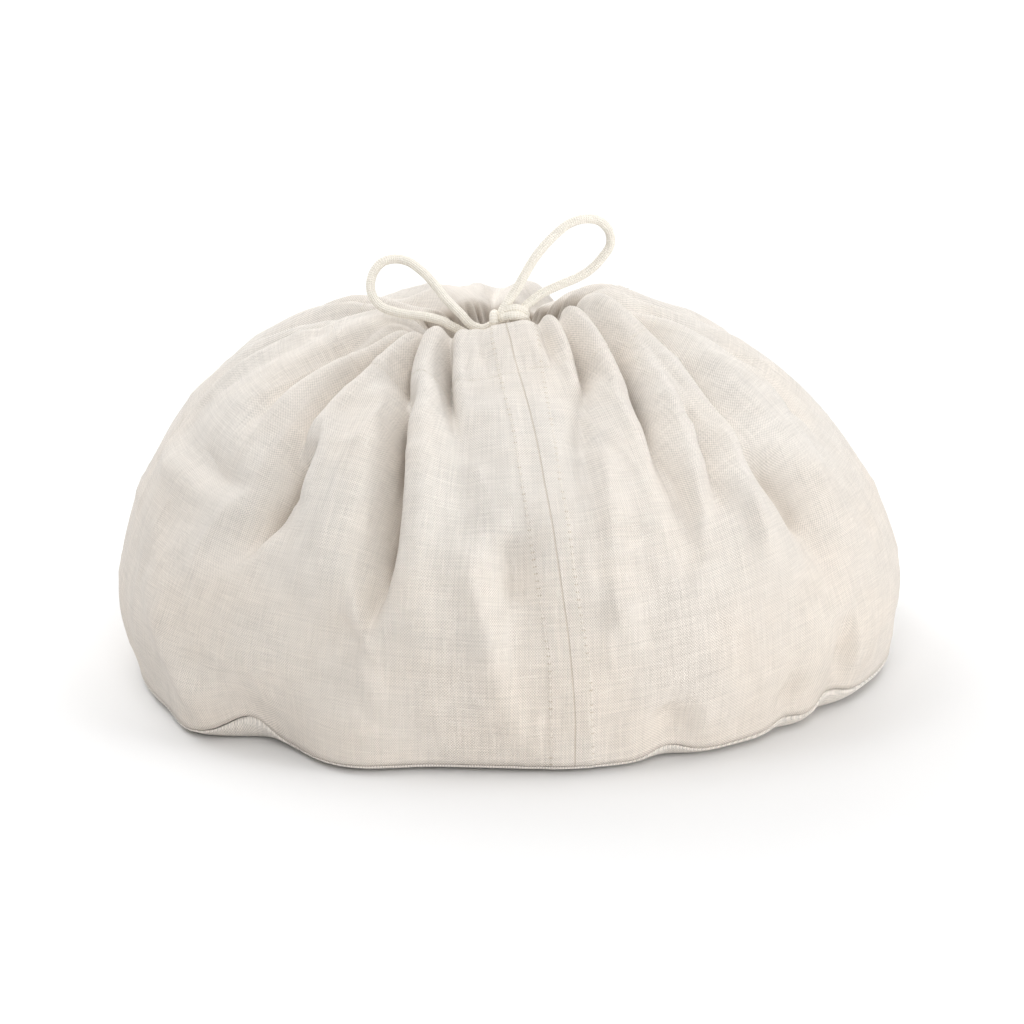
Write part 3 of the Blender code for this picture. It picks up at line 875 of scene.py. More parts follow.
@dataclass
class DrapedCloth:
    """Form of the gathered wall: its side views, folds and small creases."""

    mouth_shift_x: float = -4.0
    mouth_shift_reach: float = 120.0
    trough_rounding: float = 0.45
    crown_depth_share: float = 0.35
    crown_depth_reach: float = 26.0
    bulge_share: float = 0.16
    bulge_offset: float = 2.4
    bulge_width: float = 1.3
    steep_lean: float = 0.4
    steep_zone: float = 0.6
    ridge_offset: float = 1.5
    ridge_width: float = 1.1
    fold_fade: float = 0.5
    fold_start: float = 30.0
    notch_end: float = 18.0
    lobe_roundness: float = 0.98
    lobe_deepening: float = 0.8
    lobe_drop: float = 2.4
    lobe_bulge: float = 0.15
    # Painted shade: push that gives full shade, weight of the rim's lobes in it, and shade inside
    # the back rim
    full_shade_depth: float = 17.0
    lobe_shade_weight: float = 2.2
    inside_shade: float = 0.7
    band_height: float = 0.45
    band_edge: float = 1.2
    casing_step: float = 0.3
    casing_groove: float = 0.22
    pucker_height: float = 0.22
    crease_softness: float = 1.2
    crease_turn: float = 1.6
    crease_tip: float = 0.3
    wave_height: float = 0.9
    ripple_height: float = 0.45
    crease_height: float = 0.9
    fine_crease_height: float = 0.55
    foot_calm: float = 18.0
    azimuth_step: float = 0.5
    arc_step: float = 0.5
    arc_low: float = -18.0
    arc_high: float = 270.0
    points: np.ndarray = field(init=False)
    normals: np.ndarray = field(init=False)
    lip_arc: np.ndarray = field(init=False)
    foot_arc: np.ndarray = field(init=False)
    waves: Unevenness = field(init=False)
    ripples: Unevenness = field(init=False)
    creases: Unevenness = field(init=False)
    fine_creases: Unevenness = field(init=False)

    def __post_init__(self) -> None:
        """Work out the cloth without folds on a fine chart of azimuth and arc."""
        self.waves = Unevenness(3, 30, 42.0)
        self.ripples = Unevenness(5, 84, 60.0)
        self.creases = Unevenness(11, 22, 34.0)
        self.fine_creases = Unevenness(17, 50, 26.0)
        azimuth = np.arange(0, 360, self.azimuth_step)
        arcs = np.arange(self.arc_low, self.arc_high, self.arc_step)
        steps = 24
        line = smooth_line(self.stations(azimuth), steps)
        length = run_length(line)
        crown = length[:, steps]
        self.lip_arc = -crown
        self.foot_arc = length[:, -1] - crown
        radius = np.empty((len(azimuth), len(arcs)))
        height = np.empty_like(radius)
        for i in range(len(azimuth)):
            radius[i] = np.interp(arcs + crown[i], length[i], line[i, :, 0])
            height[i] = np.interp(arcs + crown[i], length[i], line[i, :, 1])
        angle = np.radians(azimuth)[:, None]
        shift = self.mouth_shift_x * smooth(1 - arcs / self.mouth_shift_reach)[None]
        self.points = np.stack([shift + radius * np.sin(angle), -radius * np.cos(angle), height],
                               axis=-1)
        around = np.roll(self.points, -1, axis=0) - np.roll(self.points, 1, axis=0)
        inside = (arcs[None] >= self.lip_arc[:, None]) & (arcs[None] <= self.foot_arc[:, None])
        normal = np.cross(np.gradient(self.points, axis=1), around)
        size = np.linalg.norm(normal, axis=-1, keepdims=True)
        normal = np.where(size > 1e-9, normal / np.maximum(size, 1e-9), 0)
        for i in range(len(azimuth)):
            good = np.flatnonzero(inside[i])[1:-1]
            normal[i, :good[0]] = normal[i, good[0]]
            normal[i, good[-1]:] = normal[i, good[-1]]
        self.normals = normal

    def stations(self, azimuth: np.ndarray) -> np.ndarray:
        """Stations of the side view at each azimuth, blended smoothly round the bag."""
        known = np.array([row.azimuth for row in SECTIONS], float)
        values = np.array([sum(row[1:], ()) for row in SECTIONS], float)
        known = np.concatenate([known[-2:] - 360, known, known[:2] + 360])
        values = np.concatenate([values[-2:], values, values[:2]])
        slopes = np.gradient(values, known, axis=0)
        angle = (azimuth - SECTIONS[0].azimuth) % 360 + SECTIONS[0].azimuth
        i = np.searchsorted(known, angle, side="right") - 1
        span = (known[i + 1] - known[i])[:, None]
        t = (angle - known[i])[:, None] / span
        blend = hermite(t, span, values[i], slopes[i], values[i + 1], slopes[i + 1])
        return blend.reshape(len(azimuth), -1, 2)

    def looked_up(self, chart: np.ndarray, azimuth: np.ndarray, arc: np.ndarray) -> np.ndarray:
        """Value of a chart between its grid lines."""
        a = (azimuth % 360) / self.azimuth_step
        s = np.clip((arc - self.arc_low) / self.arc_step, 0, chart.shape[1] - 1.001)
        i, j = np.floor(a).astype(int) % len(chart), np.floor(s).astype(int)
        fa, fs = (a - np.floor(a))[..., None], (s - np.floor(s))[..., None]
        k = (i + 1) % len(chart)
        low = chart[i, j] * (1 - fs) + chart[i, j + 1] * fs
        high = chart[k, j] * (1 - fs) + chart[k, j + 1] * fs
        return low * (1 - fa) + high * fa

    def ends(self, azimuth: np.ndarray) -> tuple[np.ndarray, np.ndarray]:
        """Arcs of the lip and of the foot at each azimuth."""
        known = np.arange(0, 360, self.azimuth_step)
        return (np.interp(azimuth % 360, known, self.lip_arc, period=360),
                np.interp(azimuth % 360, known, self.foot_arc, period=360))

    def fold_push(self, azimuth: np.ndarray, arc: np.ndarray,
                  radius: np.ndarray) -> tuple[np.ndarray, np.ndarray]:
        """Shape of all folds together.

        Args:
            azimuth: Degrees from the front.
            arc: Millimetres down from the crown.
            radius: Distance from the bag's axis in mm.

        Returns:
            Push along the cloth's normal (mm, outward over 0), and slide round the bag (mm)
            that lets a steep fold's ridge hang over its trough.
        """
        push = np.zeros_like(arc)
        slide = np.zeros_like(arc)
        for fold in FOLDS:
            run = fold.arc_end - fold.arc_top
            t = np.clip((arc - fold.arc_top) / run, 0, 1)
            to_middle = turn(fold.azimuth_middle - fold.azimuth_top)
            to_end = turn(fold.azimuth_end - fold.azimuth_top)
            path = fold.azimuth_top + 4 * to_middle * t * (1 - t) + to_end * t * (2 * t - 1)
            across = np.radians(turn(azimuth - path)) * radius
            width = fold.width_top + (fold.width_end - fold.width_top) * t
            if fold.steep:
                on_steep = smooth(across * fold.steep / (self.steep_zone * width) + 0.5)
                width = width * (1 + self.steep_lean * (1 - 2 * on_steep))
            rounding = self.trough_rounding * width
            trough = np.exp(-(np.sqrt(across ** 2 + rounding ** 2) - rounding) / width)
            amount = smooth((fold.arc_end - arc) / (self.fold_fade * run))
            if fold.arc_top < 0:
                over_crown = smooth((arc - 1) / self.crown_depth_reach)
                share = self.crown_depth_share
                amount = amount * (share + (1 - share) * over_crown)
            else:
                amount = amount * smooth((arc - fold.arc_top) / self.fold_start)
            offset = (np.abs(across) - self.bulge_offset * width) / (self.bulge_width * width)
            push += fold.depth * amount * (self.bulge_share * np.exp(-offset ** 2) - trough)
            if fold.over:
                on_ridge = across * fold.steep / width - self.ridge_offset
                on_ridge = on_ridge / self.ridge_width
                slide -= fold.steep * fold.over * amount * np.exp(-on_ridge ** 2)
        return push, slide

    def swell_push(self, azimuth: np.ndarray, arc: np.ndarray) -> np.ndarray:
        """Push along the cloth's normal (mm) of the soft ridges and hollows."""
        push = np.zeros_like(arc)
        for swell in SWELLS:
            middle = (swell.arc_start + swell.arc_end) / 2
            radius = along_table(RADIUS_AT_ARC, middle)
            across = np.radians(turn(azimuth - swell.azimuth_start)) * radius
            down = arc - swell.arc_start
            run_across = math.radians(float(turn(swell.azimuth_end - swell.azimuth_start))) * radius
            run_down = swell.arc_end - swell.arc_start
            t = (across * run_across + down * run_down) / (run_across ** 2 + run_down ** 2)
            t = np.clip(t, 0, 1)
            away = (across - t * run_across) ** 2 + (down - t * run_down) ** 2
            reach = np.exp(-away / swell.width ** 2)
            push += swell.height * reach * (0.6 + 0.4 * np.sin(np.pi * t))
        return push

    def small_push(self, azimuth: np.ndarray, arc: np.ndarray, radius: np.ndarray) -> np.ndarray:
        """Push (mm) of what only the finished cloth shows: sewing, puckers, lip pleats."""
        push = np.zeros_like(arc)
        across = np.radians(azimuth) * radius
        left = np.radians(turn(azimuth - along_table(LEFT_STITCH_LINE, arc))) * radius
        right = np.radians(turn(azimuth - along_table(RIGHT_STITCH_LINE, arc))) * radius
        edge = self.band_edge
        push += self.band_height * smooth((left + edge) / 1.6) * smooth((edge - right) / 1.6)
        casing = arc - along_table(CASING_ROW, turn(azimuth))
        push += self.casing_step * smooth((0.8 - casing) / 2.5)
        push -= self.casing_groove * np.exp(-(casing / 1.8) ** 2)
        wave = np.sin(across / 1.15) + 0.8 * np.sin(across / 0.71 + 1.3) + 0.7 * np.sin(across / 1.9)
        push += self.pucker_height * wave * np.exp(-((casing + 4.5) / 5.0) ** 2)
        lip = smooth((6.0 - arc) / 12.0)
        for pleat in LIP_PLEATS:
            off = np.radians(turn(azimuth - pleat.azimuth)) * radius / pleat.width
            push -= pleat.depth * lip * np.exp(-off ** 2)
        return push + self.lobe_push(azimuth, arc, radius)

    def lobe_share(self, azimuth: np.ndarray) -> tuple[np.ndarray, np.ndarray, np.ndarray]:
        """Place across the rim's lobes: -1 to 1 in each lobe, its half angle, degrees beyond."""
        at = azimuth % 360
        known = np.array(MOUTH_NOTCHES, float)[:, 0]
        k = np.clip(np.searchsorted(known, at) - 1, 0, len(known) - 2)
        half = (known[k + 1] - known[k]) / 2
        share = np.clip((at - known[k]) / half - 1, -1, 1)
        return share, half, np.maximum(known[0] - at, 0) + np.maximum(at - known[-1], 0)

    def lobe_slide(self, azimuth: np.ndarray, arc: np.ndarray, radius: np.ndarray) -> np.ndarray:
        """Slide round the rim (mm) that rounds the lobes until they touch."""
        share, half, _ = self.lobe_share(azimuth)
        bulge = np.sin(np.pi * np.abs(share) ** 3)
        end = self.notch_end * 0.7
        rim = smooth((end - arc) / end)
        return self.lobe_bulge * np.sign(share) * np.radians(half) * radius * bulge * rim

    def lobe_push(self, azimuth: np.ndarray, arc: np.ndarray, radius: np.ndarray) -> np.ndarray:
        """Push (mm) of the rim's puffy lobes: round between the notches, creased at each."""
        depth = along_table(MOUTH_NOTCHES, azimuth % 360)
        share, _, beyond = self.lobe_share(azimuth)
        hollow = 1 - np.sqrt(1 - self.lobe_roundness * share ** 2)
        beyond = np.radians(beyond) * radius
        rim = smooth((self.notch_end - arc) / self.notch_end)
        below = 1 + self.lobe_deepening * smooth(-arc / 12)
        drop = self.lobe_drop * smooth((24 - arc) / 24) * smooth((np.abs(turn(azimuth)) - 95) / 25)
        return -depth * hollow * rim * below * np.exp(-beyond / 2.5) - drop

    def crease_push(self, azimuth: np.ndarray, arc: np.ndarray) -> np.ndarray:
        """Push (mm) of the listed creases: ridges and valleys with unlike sides."""
        push = np.zeros_like(arc)
        for crease in CREASES:
            line = np.array(crease.line, float)
            reach = along_table(RADIUS_AT_ARC, arc)
            nearest = np.full_like(arc, 1e6)
            side = np.zeros_like(arc)
            place = np.zeros_like(arc)
            run = run_length(line * (self.crease_turn, 1.0))
            for k in range(len(line) - 1):
                to_arc = line[k + 1, 1] - line[k, 1]
                to_turn = math.radians(line[k + 1, 0] - line[k, 0]) * reach
                across = np.radians(turn(azimuth - line[k, 0])) * reach
                down = arc - line[k, 1]
                share = np.clip((across * to_turn + down * to_arc) / (to_turn ** 2 + to_arc ** 2),
                                0, 1)
                off_across, off_down = across - share * to_turn, down - share * to_arc
                away = np.hypot(off_across, off_down)
                closer = away < nearest
                nearest = np.where(closer, away, nearest)
                to_side = (off_across * to_arc - off_down * to_turn) * math.copysign(1.0, to_arc)
                side = np.where(closer, to_side, side)
                place = np.where(closer, run[k] + share * (run[k + 1] - run[k]), place)
            width = np.where(side > 0, crease.right, crease.left)
            tip = np.minimum(place, run[-1] - place) / (self.crease_tip * run[-1])
            soft = self.crease_softness
            fall = np.exp(-(np.sqrt(nearest ** 2 + soft ** 2) - soft) / width)
            push += crease.height * fall * smooth(tip + 0.08)
        return push

    def crumple(self, azimuth: np.ndarray, arc: np.ndarray) -> np.ndarray:
        """Push (mm) of the cloth's own slackness: soft waves and faint creases."""
        push = self.wave_height * self.waves.at(azimuth, arc)
        push += self.ripple_height * self.ripples.at(azimuth + 0.05 * arc, arc)
        for crease, height in ((self.creases, self.crease_height),
                               (self.fine_creases, self.fine_crease_height)):
            ridge = 1 - np.abs(crease.at(azimuth - 0.04 * arc, arc)) * 2.2
            push += height * np.maximum(ridge, 0) ** 2
        return push * smooth((arc - 10) / 40)

    def painted_shade_at(self, azimuth: np.ndarray, arc: np.ndarray) -> np.ndarray:
        """How much painted shade the cloth gets, 0 to 1: deep in a fold, or inside the back rim."""
        points = self.looked_up(self.points, azimuth, arc)
        radius = np.maximum(np.hypot(points[..., 0], points[..., 1]), 24)
        push = self.fold_push(azimuth, arc, radius)[0] + self.crease_push(azimuth, arc)
        push += self.lobe_shade_weight * (self.lobe_push(azimuth, arc, radius) + self.lobe_drop)
        # Painted shade inside the back rim, over the lip that lies in the mouth
        behind = smooth((np.abs(turn(azimuth)) - 80) / 30) * smooth((12 - arc) / 12)
        behind = self.inside_shade * behind
        return np.clip(-push / self.full_shade_depth, 0, 1) * (1 - behind) + behind

    def hem_wave(self, azimuth: np.ndarray) -> tuple[np.ndarray, np.ndarray]:
        """Outward push and lift (mm) of the foot seam at each azimuth."""
        push = np.zeros_like(azimuth)
        lift = np.zeros_like(azimuth)
        for wave in HEM_WAVES:
            near = np.exp(-(turn(azimuth - wave.azimuth) / wave.spread) ** 2)
            push += wave.push * near
            lift += wave.lift * near
        return push, lift

    def surface(self, azimuth: np.ndarray, arc: np.ndarray) -> np.ndarray:
        """Outer face of the cloth.

        Args:
            azimuth: Degrees from the front.
            arc: Millimetres down from the crown.

        Returns:
            Points in mm, with a last axis of 3.
        """
        points = self.looked_up(self.points, azimuth, arc)
        normal = self.looked_up(self.normals, azimuth, arc)
        normal /= np.maximum(np.linalg.norm(normal, axis=-1, keepdims=True), 1e-6)
        radius = np.maximum(np.hypot(points[..., 0], points[..., 1]), 24)
        to_foot = self.ends(azimuth)[1] - arc
        folds, slide = self.fold_push(azimuth, arc, radius)
        calm = smooth(to_foot / self.foot_calm)
        push = (folds + self.swell_push(azimuth, arc)) * calm
        push = push + self.small_push(azimuth, arc, radius)
        push = push + (self.crumple(azimuth, arc) + self.crease_push(azimuth, arc)) * calm
        points = points + normal * push[..., None]
        slide = slide * calm * smooth((arc + 4) / 12) + self.lobe_slide(azimuth, arc, radius)
        points[..., 0] += slide * np.cos(np.radians(azimuth))
        points[..., 1] += slide * np.sin(np.radians(azimuth))
        hem_push, hem_lift = self.hem_wave(azimuth)
        near_foot = 1 - smooth(to_foot / (2 * self.foot_calm))
        points[..., 0] += hem_push * near_foot * np.sin(np.radians(azimuth))
        points[..., 1] -= hem_push * near_foot * np.cos(np.radians(azimuth))
        points[..., 2] += hem_lift * near_foot
        return points

    def normal_at(self, azimuth: np.ndarray, arc: np.ndarray) -> np.ndarray:
        """Outward direction of the finished surface."""
        step = 0.25
        radius = np.maximum(np.hypot(*np.moveaxis(self.surface(azimuth, arc)[..., :2], -1, 0)), 20)
        turn_step = np.degrees(step / radius)
        around = self.surface(azimuth + turn_step, arc) - self.surface(azimuth - turn_step, arc)
        down = self.surface(azimuth, arc + step) - self.surface(azimuth, arc - step)
        normal = np.cross(down, around)
        return normal / np.maximum(np.linalg.norm(normal, axis=-1, keepdims=True), 1e-9)


@dataclass
class WallPanel:
    """The wall: one strip of linen, seamed up the front, its hem turned down as the casing."""

    cloth: DrapedCloth
    finish: LinenFinish
    columns: int = 640
    rows: int = 108
    row_crowding: float = 1.15
    column_crowding: float = 0.22
    lean_right: float = 24.0
    lean_left: float = 15.0
    lean_foot_share: float = 0.5
    inner_rows: int = 36
    thickness: float = 1.1
    flat_width: float = 1.03
    flat_height: float = 0.24

    def threads(self) -> tuple[np.ndarray, np.ndarray, np.ndarray]:
        """Columns (radians), azimuths (degrees) and arcs (mm) of the grid, by column and row."""
        share = (np.arange(self.rows + 1) / self.rows) ** self.row_crowding
        even = np.radians(np.arange(self.columns) * 360.0 / self.columns - 180.0)
        column = even - self.column_crowding * np.sin(even)
        lean = np.where(column > 0, self.lean_right, self.lean_left) * np.sin(column)
        falloff = (1 + self.lean_foot_share) * (1 - share) ** 3 - self.lean_foot_share
        azimuth = np.degrees(column)[:, None] + lean[:, None] * falloff
        lip, foot = self.cloth.ends(azimuth)
        return column, azimuth, lip + share * (foot - lip)

    def build(self) -> bpy.types.Object:
        """Make the wall as one closed sheet with its sewing distances.

        Returns:
            The wall piece.
        """
        column, azimuth, arc = self.threads()
        outer = self.cloth.surface(azimuth, arc)
        around = np.roll(outer, -1, axis=0) - np.roll(outer, 1, axis=0)
        normal = np.cross(np.gradient(outer, axis=1), around)
        normal /= np.linalg.norm(normal, axis=-1, keepdims=True)
        kept = np.unique(np.round(self.rows * (np.arange(self.inner_rows + 1)
                                               / self.inner_rows) ** 1.3).astype(int))
        inner = (outer - normal * self.thickness)[:, kept]
        points = np.concatenate([outer.reshape(-1, 3), inner.reshape(-1, 3)]) * MM
        outside = np.arange(self.columns * (self.rows + 1)).reshape(self.columns, -1)
        within = outside.size + np.arange(inner.shape[0] * inner.shape[1]).reshape(inner.shape[:2])
        sides = np.concatenate([within[:, ::-1], outside], axis=1)
        sides = np.concatenate([sides, within[:, -1:]], axis=1)
        faces = MeshMaker.ring_faces(sides.T)
        turned = np.concatenate([column, [column[0] + 2 * math.pi]])
        arcs = np.concatenate([arc[:, kept][:, ::-1], arc, arc[:, kept][:, -1:]], axis=1)
        uv = MeshMaker.ring_uv(turned, arcs.T * MM)
        wall = MeshMaker.piece("wall_cloth", points, faces.tolist(), uv)
        self.measure(wall, outer, column, azimuth, arc, kept)
        wall.data.materials.append(self.finish.material())
        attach(wall, "root")
        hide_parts("wall_panel")
        return wall

    def measure(self, wall: bpy.types.Object, outer: np.ndarray, column: np.ndarray,
                azimuth: np.ndarray, arc: np.ndarray, kept: np.ndarray) -> None:
        """Store thread spread and sewing distances on the wall's points."""
        step = np.roll(column, -1) - np.roll(column, 1)
        step = np.where(step < 0, step + 2 * math.pi, step)
        width = np.linalg.norm(np.roll(outer, -1, axis=0) - np.roll(outer, 1, axis=0), axis=-1)
        spread = width / step[:, None]
        for _ in range(4):
            spread = (np.roll(spread, 1, axis=0) + spread + np.roll(spread, -1, axis=0)) / 3
        radius = np.maximum(np.hypot(outer[..., 0], outer[..., 1]), 24)
        lengths = {"spread": np.maximum(spread, 12)}
        for name, table in (("seam_distance", SEAM_LINE), ("left_distance", LEFT_STITCH_LINE),
                            ("right_distance", RIGHT_STITCH_LINE)):
            off = np.radians(turn(azimuth - along_table(table, arc))) * radius
            lengths[name] = np.clip(off, -30, 30)
        lengths["casing_distance"] = arc - along_table(CASING_ROW, turn(azimuth))
        run = np.cumsum(np.linalg.norm(np.diff(outer, axis=0, prepend=outer[-1:]), axis=-1), axis=0)
        lengths["run"] = run
        # Amount of painted shade for the linen: deep in folds and inside the back rim
        lengths["hollow"] = self.cloth.painted_shade_at(azimuth, arc)
        for name, values in lengths.items():
            both = np.concatenate([values.reshape(-1), values[:, kept].reshape(-1)])
            MeshMaker.attribute(wall, name, both)

    def foot_ring(self, count: int) -> np.ndarray:
        """Points (mm) round the foot seam."""
        azimuth = np.arange(count) * 360.0 / count - 180.0
        return self.cloth.surface(azimuth, self.cloth.ends(azimuth)[1])


@dataclass
class BasePanel:
    """The round base: a flat disc whose edge turns up to the foot seam, with a rolled edge."""

    finish: LinenFinish
    around: int = 480
    flat_share: float = 0.90
    flat_rings: tuple = (0.02, 0.2, 0.4, 0.6, 0.8)
    edge_rings: int = 14
    thickness: float = 1.1
    gap: float = 0.35
    inset: float = 0.45
    bead: float = 0.5

    def build(self, foot: np.ndarray) -> bpy.types.Object:
        """Make the base under the wall's foot.

        Args:
            foot: Points (mm) round the wall's foot seam.

        Returns:
            The base piece.
        """
        reach = np.hypot(foot[:, 0], foot[:, 1])
        along = foot[:, :2] / reach[:, None]
        rim = foot[:, 2] - self.gap
        radius = reach - self.inset
        rings = []
        for share in self.flat_rings:
            rings.append(np.column_stack([along * (radius * self.flat_share * share)[:, None],
                                          np.zeros(len(foot))]))
        for turned in np.linspace(0, 1, self.edge_rings):
            angle = turned * math.pi / 2
            out = radius * (self.flat_share + (1 - self.flat_share) * math.sin(angle))
            rings.append(np.column_stack([along * out[:, None], rim * (1 - math.cos(angle))]))
        bottom = np.array(rings)
        # The turned edge swells just under the seam
        bottom[-3:-1] += self.bead * np.concatenate([along, np.zeros((len(foot), 1))], axis=1)
        inside = bottom.copy()
        inside[..., :2] -= along[None] * self.thickness * smooth(
            (np.arange(len(rings)) - len(self.flat_rings)) / 8.0)[:, None, None]
        inside[..., 2] += self.thickness * (1 - smooth((np.arange(len(rings)) - 9) / 9.0))[:, None]
        centre = np.array([[0, 0, 0], [0, 0, self.thickness]], float)
        shell = np.concatenate([bottom, inside[::-1]])
        rows = np.arange(shell.shape[0] * shell.shape[1]).reshape(shell.shape[:2])
        points = np.concatenate([shell.reshape(-1, 3), centre]) * MM
        faces = MeshMaker.ring_faces(rows)[:, ::-1]
        count = len(foot)
        first, last = rows[0], rows[-1]
        caps = [(int(last[(k + 1) % count]), int(last[k]), len(points) - 1) for k in range(count)]
        caps += [(int(first[k]), int(first[(k + 1) % count]), len(points) - 2) for k in range(count)]
        faces = faces.tolist() + caps
        corners = np.concatenate(faces)
        base = MeshMaker.piece("base_cloth", points, faces, points[corners, :2])
        MeshMaker.attribute(base, "spread", np.full(len(points), 1000.0))
        base.data.materials.append(self.finish.material())
        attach(base, "root")
        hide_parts("base_panel")
        return base


@dataclass
class Drawstring:
    """Cream braided cord, tied in a bow behind the front rim."""

    finish: CottonCordFinish
    diameter: float = 4.0
    sides: int = 48
    ring_step: float = 0.3
    relief: float = 0.16
    wraps: tuple = (
        ((-4.8, -20.4, 154.6), (-3.4, -23.4, 157.6), (1.2, -24.6, 158.9), (4.8, -23.4, 157.6),
         (6.4, -20.4, 154.6)),
        ((-3.6, -18.8, 157.0), (-2.2, -21.2, 160.2), (1.6, -22.0, 161.4), (4.6, -21.2, 160.0),
         (6.0, -18.4, 156.6)),
        ((-7.2, -19.8, 159.4), (-7.6, -23.0, 158.2), (-7.6, -24.0, 156.2), (-7.2, -22.6, 153.8),
         (-6.2, -20.0, 152.2)),
        ((7.9, -16.1, 162.6), (6.2, -17.0, 161.6), (4.4, -18.6, 159.8), (2.2, -20.4, 157.4),
         (-0.4, -21.0, 154.6)),
        ((-2.0, -19.7, 163.4), (-3.0, -20.4, 161.8), (-4.2, -21.4, 159.6), (-5.0, -22.0, 156.6),
         (-5.0, -21.0, 153.2)),
    )

    def loop(self, name: str, node: str, route: tuple, knot: bpy.types.Object) -> bpy.types.Object:
        tube = Tube(np.array(route), self.diameter / 2, self.sides, self.ring_step)
        loop = tube.piece(name, self.relief, self.finish.plait, self.finish.strands)
        loop.data.materials.append(self.finish.material())
        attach(loop, "root")
        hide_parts(node)
        tuple(float(c) * MM for c in route[0])
        LOG.info("%s: %.3f m of cord", name, tube.length * MM)
        return loop

    def knot(self) -> bpy.types.Object:
        """Tie the knot: strands of the cord wrapped over each other."""
        strands = []
        for index, route in enumerate(self.wraps):
            tube = Tube(np.array(route), self.diameter / 2, self.sides, self.ring_step)
            strands.append(tube.piece(f"knot_strand_{index}", self.relief, self.finish.plait,
                                      self.finish.strands))
        bpy.ops.object.select_all(action="DESELECT")
        for strand in strands:
            strand.select_set(True)
        bpy.context.view_layer.objects.active = strands[0]
        bpy.ops.object.join()
        knot = bpy.context.view_layer.objects.active
        knot.name = "bow_knot_strands"
        knot.data.materials.append(self.finish.material())
        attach(knot, "root")
        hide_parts("bow_knot")
        return knot

    def build(self) -> None:
        """Tie the bow."""
        knot = self.knot()
        self.loop("left_loop_cord", "bow_left_loop", LEFT_LOOP, knot)
        self.loop("right_loop_cord", "bow_right_loop", RIGHT_LOOP, knot)


@dataclass
class Sewing:
    """Rows of stitches: two beside the upright seam, one under the casing."""

    cloth: DrapedCloth
    finish: ThreadFinish
    pitch: float = 3.0
    stitch_length: float = 2.3
    thread: float = 0.42

    def stitch_model(self) -> bpy.types.Object:
        """One stitch: a short strand whose ends dip into the cloth."""
        bpy.ops.object.select_all(action="DESELECT")
        bpy.ops.mesh.primitive_uv_sphere_add(segments=8, ring_count=6, radius=0.5)
        stitch = bpy.context.object
        stitch.scale = (self.thread, self.thread * 0.8, self.stitch_length)
        bpy.ops.object.transform_apply(location=False, rotation=False, scale=True)
        return stitch

    def row(self, name: str, azimuth: np.ndarray, arc: np.ndarray) -> bpy.types.Object:
        """Sew one row.

        Args:
            name: Name of the row.
            azimuth: Azimuths of the line in degrees, close together.
            arc: Its arcs in mm.

        Returns:
            The row as one piece.
        """
        line = self.cloth.surface(azimuth, arc)
        length = run_length(line)
        count = int(length[-1] / self.pitch)
        middle = (np.arange(count) + 0.5) * self.pitch
        where_azimuth = np.interp(middle, length, azimuth)
        where_arc = np.interp(middle, length, arc)
        normal = self.cloth.normal_at(where_azimuth, where_arc)
        centre = np.stack([np.interp(middle, length, line[:, k]) for k in range(3)], axis=-1)
        ahead = np.stack([np.interp(middle + 1, length, line[:, k]) for k in range(3)], axis=-1)
        back = np.stack([np.interp(middle - 1, length, line[:, k]) for k in range(3)], axis=-1)
        run = ahead - back
        run /= np.linalg.norm(run, axis=-1, keepdims=True)
        across = np.cross(run, normal)
        across /= np.linalg.norm(across, axis=-1, keepdims=True)
        out = np.cross(across, run)
        model = self.stitch_model()
        shape = np.array([v.co[:] for v in model.data.vertices])
        polygons = [tuple(p.vertices) for p in model.data.polygons]
        bpy.data.objects.remove(model)
        points = []
        faces = []
        for k in range(count):
            basis = np.stack([across[k], out[k], run[k]])
            points.append(centre[k] + out[k] * 0.02 + shape @ basis)
            faces += [tuple(i + k * len(shape) for i in p) for p in polygons]
        row = MeshMaker.piece(name, np.concatenate(points) * MM, faces)
        row.data.materials.append(self.finish.material())
        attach(row, "root")
        LOG.info("%s: %d stitches", name, count)
        return row

    def build(self) -> None:
        """Sew the three rows."""
        arc = np.arange(-6.0, 205.0, 0.5)
        rows = (("left_topstitching", LEFT_STITCH_LINE), ("right_topstitching", RIGHT_STITCH_LINE))
        for name, table in rows:
            azimuth = along_table(table, arc)
            self.row(name, azimuth, np.minimum(arc, self.cloth.ends(azimuth)[1] - 3))
        azimuth = np.arange(-180.0, 180.0, 0.25)
        self.row("casing_stitching", azimuth, along_table(CASING_ROW, azimuth))


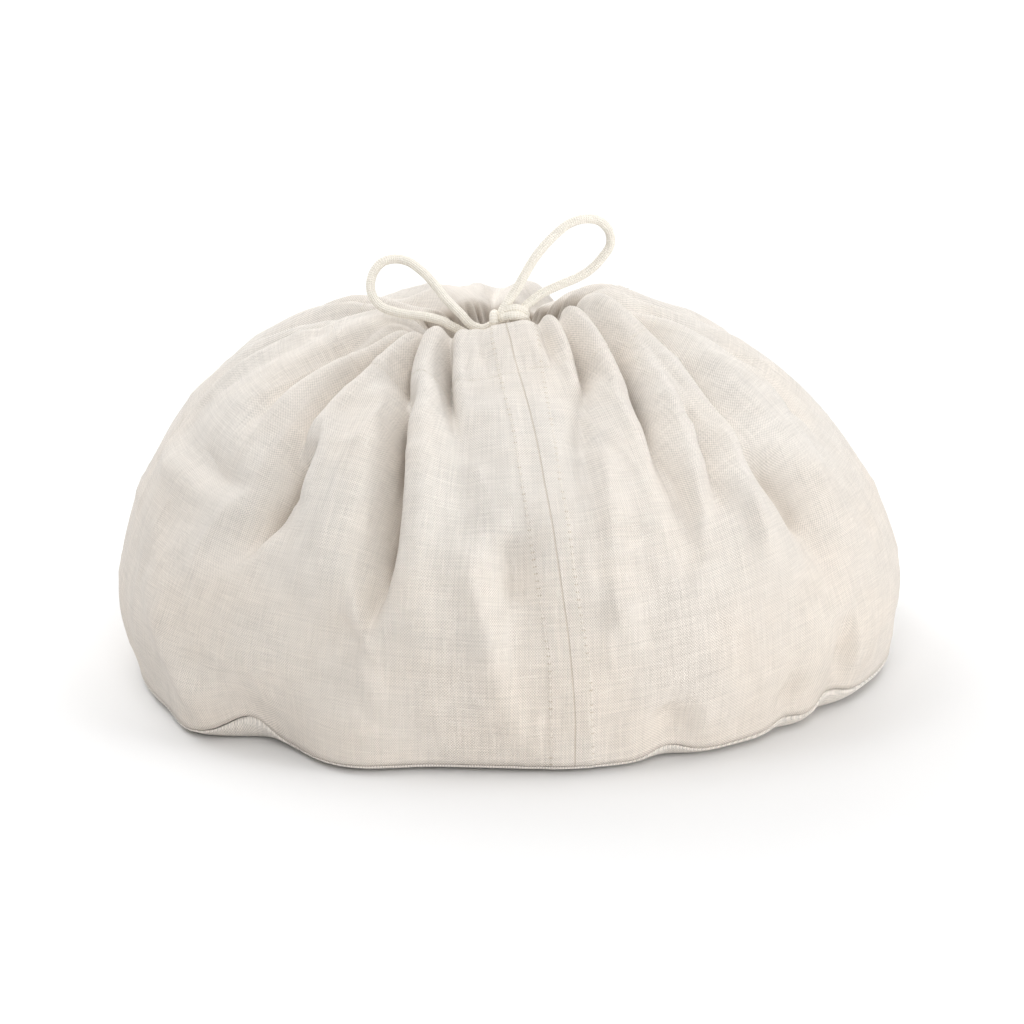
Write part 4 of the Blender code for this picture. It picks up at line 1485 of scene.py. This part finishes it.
@dataclass
class Studio:
    """Pale seamless floor, soft lights and the camera."""

    distance: float = 1.242
    elevation: float = 17.5
    aim: tuple = (0.0, 0.0, 0.065)
    lens: float = 100.0
    sky: float = 0.07
    floor_colour: tuple = (0.86, 0.86, 0.86, 1.0)
    floor_size: float = 8.0
    light_aim: tuple = (0.0, 0.0, 0.07)
    lamps: tuple = (
        ("right_back_softbox", (1.0, 1.0, 1.0), 1.0, 1.8),
        ("left_back_softbox", (-1.0, 1.0, 1.0), 1.0, 8.6),
        ("front_softbox", (0.0, -1.6, 0.45), 1.0, 5.6),
        ("front_high_softbox", (0.0, -1.5, 1.3), 1.0, 10.4),
        ("right_top_softbox", (0.9, 0.0, 1.5), 1.0, 5.8),
        ("left_top_softbox", (-0.9, 0.0, 1.5), 1.0, 8.2),
        ("right_low_softbox", (1.5, -0.5, 0.25), 0.6, 10.6),
        ("overhead_softbox", (0.0, 1.0, 2.5), 3.0, 32.0),
        ("back_softbox", (0.0, 2.6, 0.8), 2.0, 33.0),
    )

    def place_camera(self) -> None:
        """Camera in front, a little above, looking at the bag's middle."""
        data = bpy.data.cameras.new("camera")
        data.lens = self.lens
        data.sensor_width = 36.0
        camera = bpy.data.objects.new("camera", data)
        bpy.context.scene.collection.objects.link(camera)
        rise = math.radians(self.elevation)
        camera.location = (self.aim[0], self.aim[1] - self.distance * math.cos(rise),
                           self.aim[2] + self.distance * math.sin(rise))
        camera.rotation_euler = (math.pi / 2 - rise, 0.0, 0.0)
        bpy.context.scene.camera = camera

    def light(self) -> None:
        """Dim white surroundings and the softboxes."""
        world = bpy.data.worlds.new("surroundings")
        world.use_nodes = True
        background = world.node_tree.nodes["Background"]
        background.inputs[0].default_value = (1.0, 1.0, 1.0, 1.0)
        background.inputs[1].default_value = self.sky
        bpy.context.scene.world = world
        for name, place, size, power in self.lamps:
            data = bpy.data.lights.new(name, "AREA")
            data.energy = power
            data.size = size
            lamp = bpy.data.objects.new(name, data)
            bpy.context.scene.collection.objects.link(lamp)
            lamp.location = place
            lamp.visible_camera = place[1] > 0
            towards = Vector(self.light_aim) - lamp.location
            lamp.rotation_euler = towards.to_track_quat("-Z", "Y").to_euler()
        bpy.context.scene.view_settings.view_transform = "Standard"

    def lay_floor(self) -> None:
        """Wide matte floor under the bag."""
        bpy.ops.object.select_all(action="DESELECT")
        bpy.ops.mesh.primitive_plane_add(size=self.floor_size, location=(0.0, 0.0, 0.0))
        floor = bpy.context.object
        floor.name = "studio_floor"
        recipe = Recipe("floor_paper")
        recipe.shader.inputs["Base Color"].default_value = self.floor_colour
        recipe.shader.inputs["Roughness"].default_value = 0.9
        recipe.shader.inputs["Specular IOR Level"].default_value = 0.0
        floor.data.materials.append(recipe.material)


def main() -> None:
    """Build the bag and its studio."""
    logging.basicConfig(level=logging.INFO, format="%(message)s")
    studio = Studio()
    studio.place_camera()
    Drawstring(CottonCordFinish("braided_cotton")).build()
    cloth = DrapedCloth()
    wall = WallPanel(cloth, LinenFinish("wall_linen_weave"))
    piece = wall.build()
    LOG.info("wall cloth: %d faces", len(piece.data.polygons))
    base = BasePanel(LinenFinish("base_linen_weave", sewn=False))
    base.build(wall.foot_ring(base.around))
    Sewing(cloth, ThreadFinish("sewing_thread")).build()
    studio.light()
    studio.lay_floor()


if __name__ == "__main__":
    main()
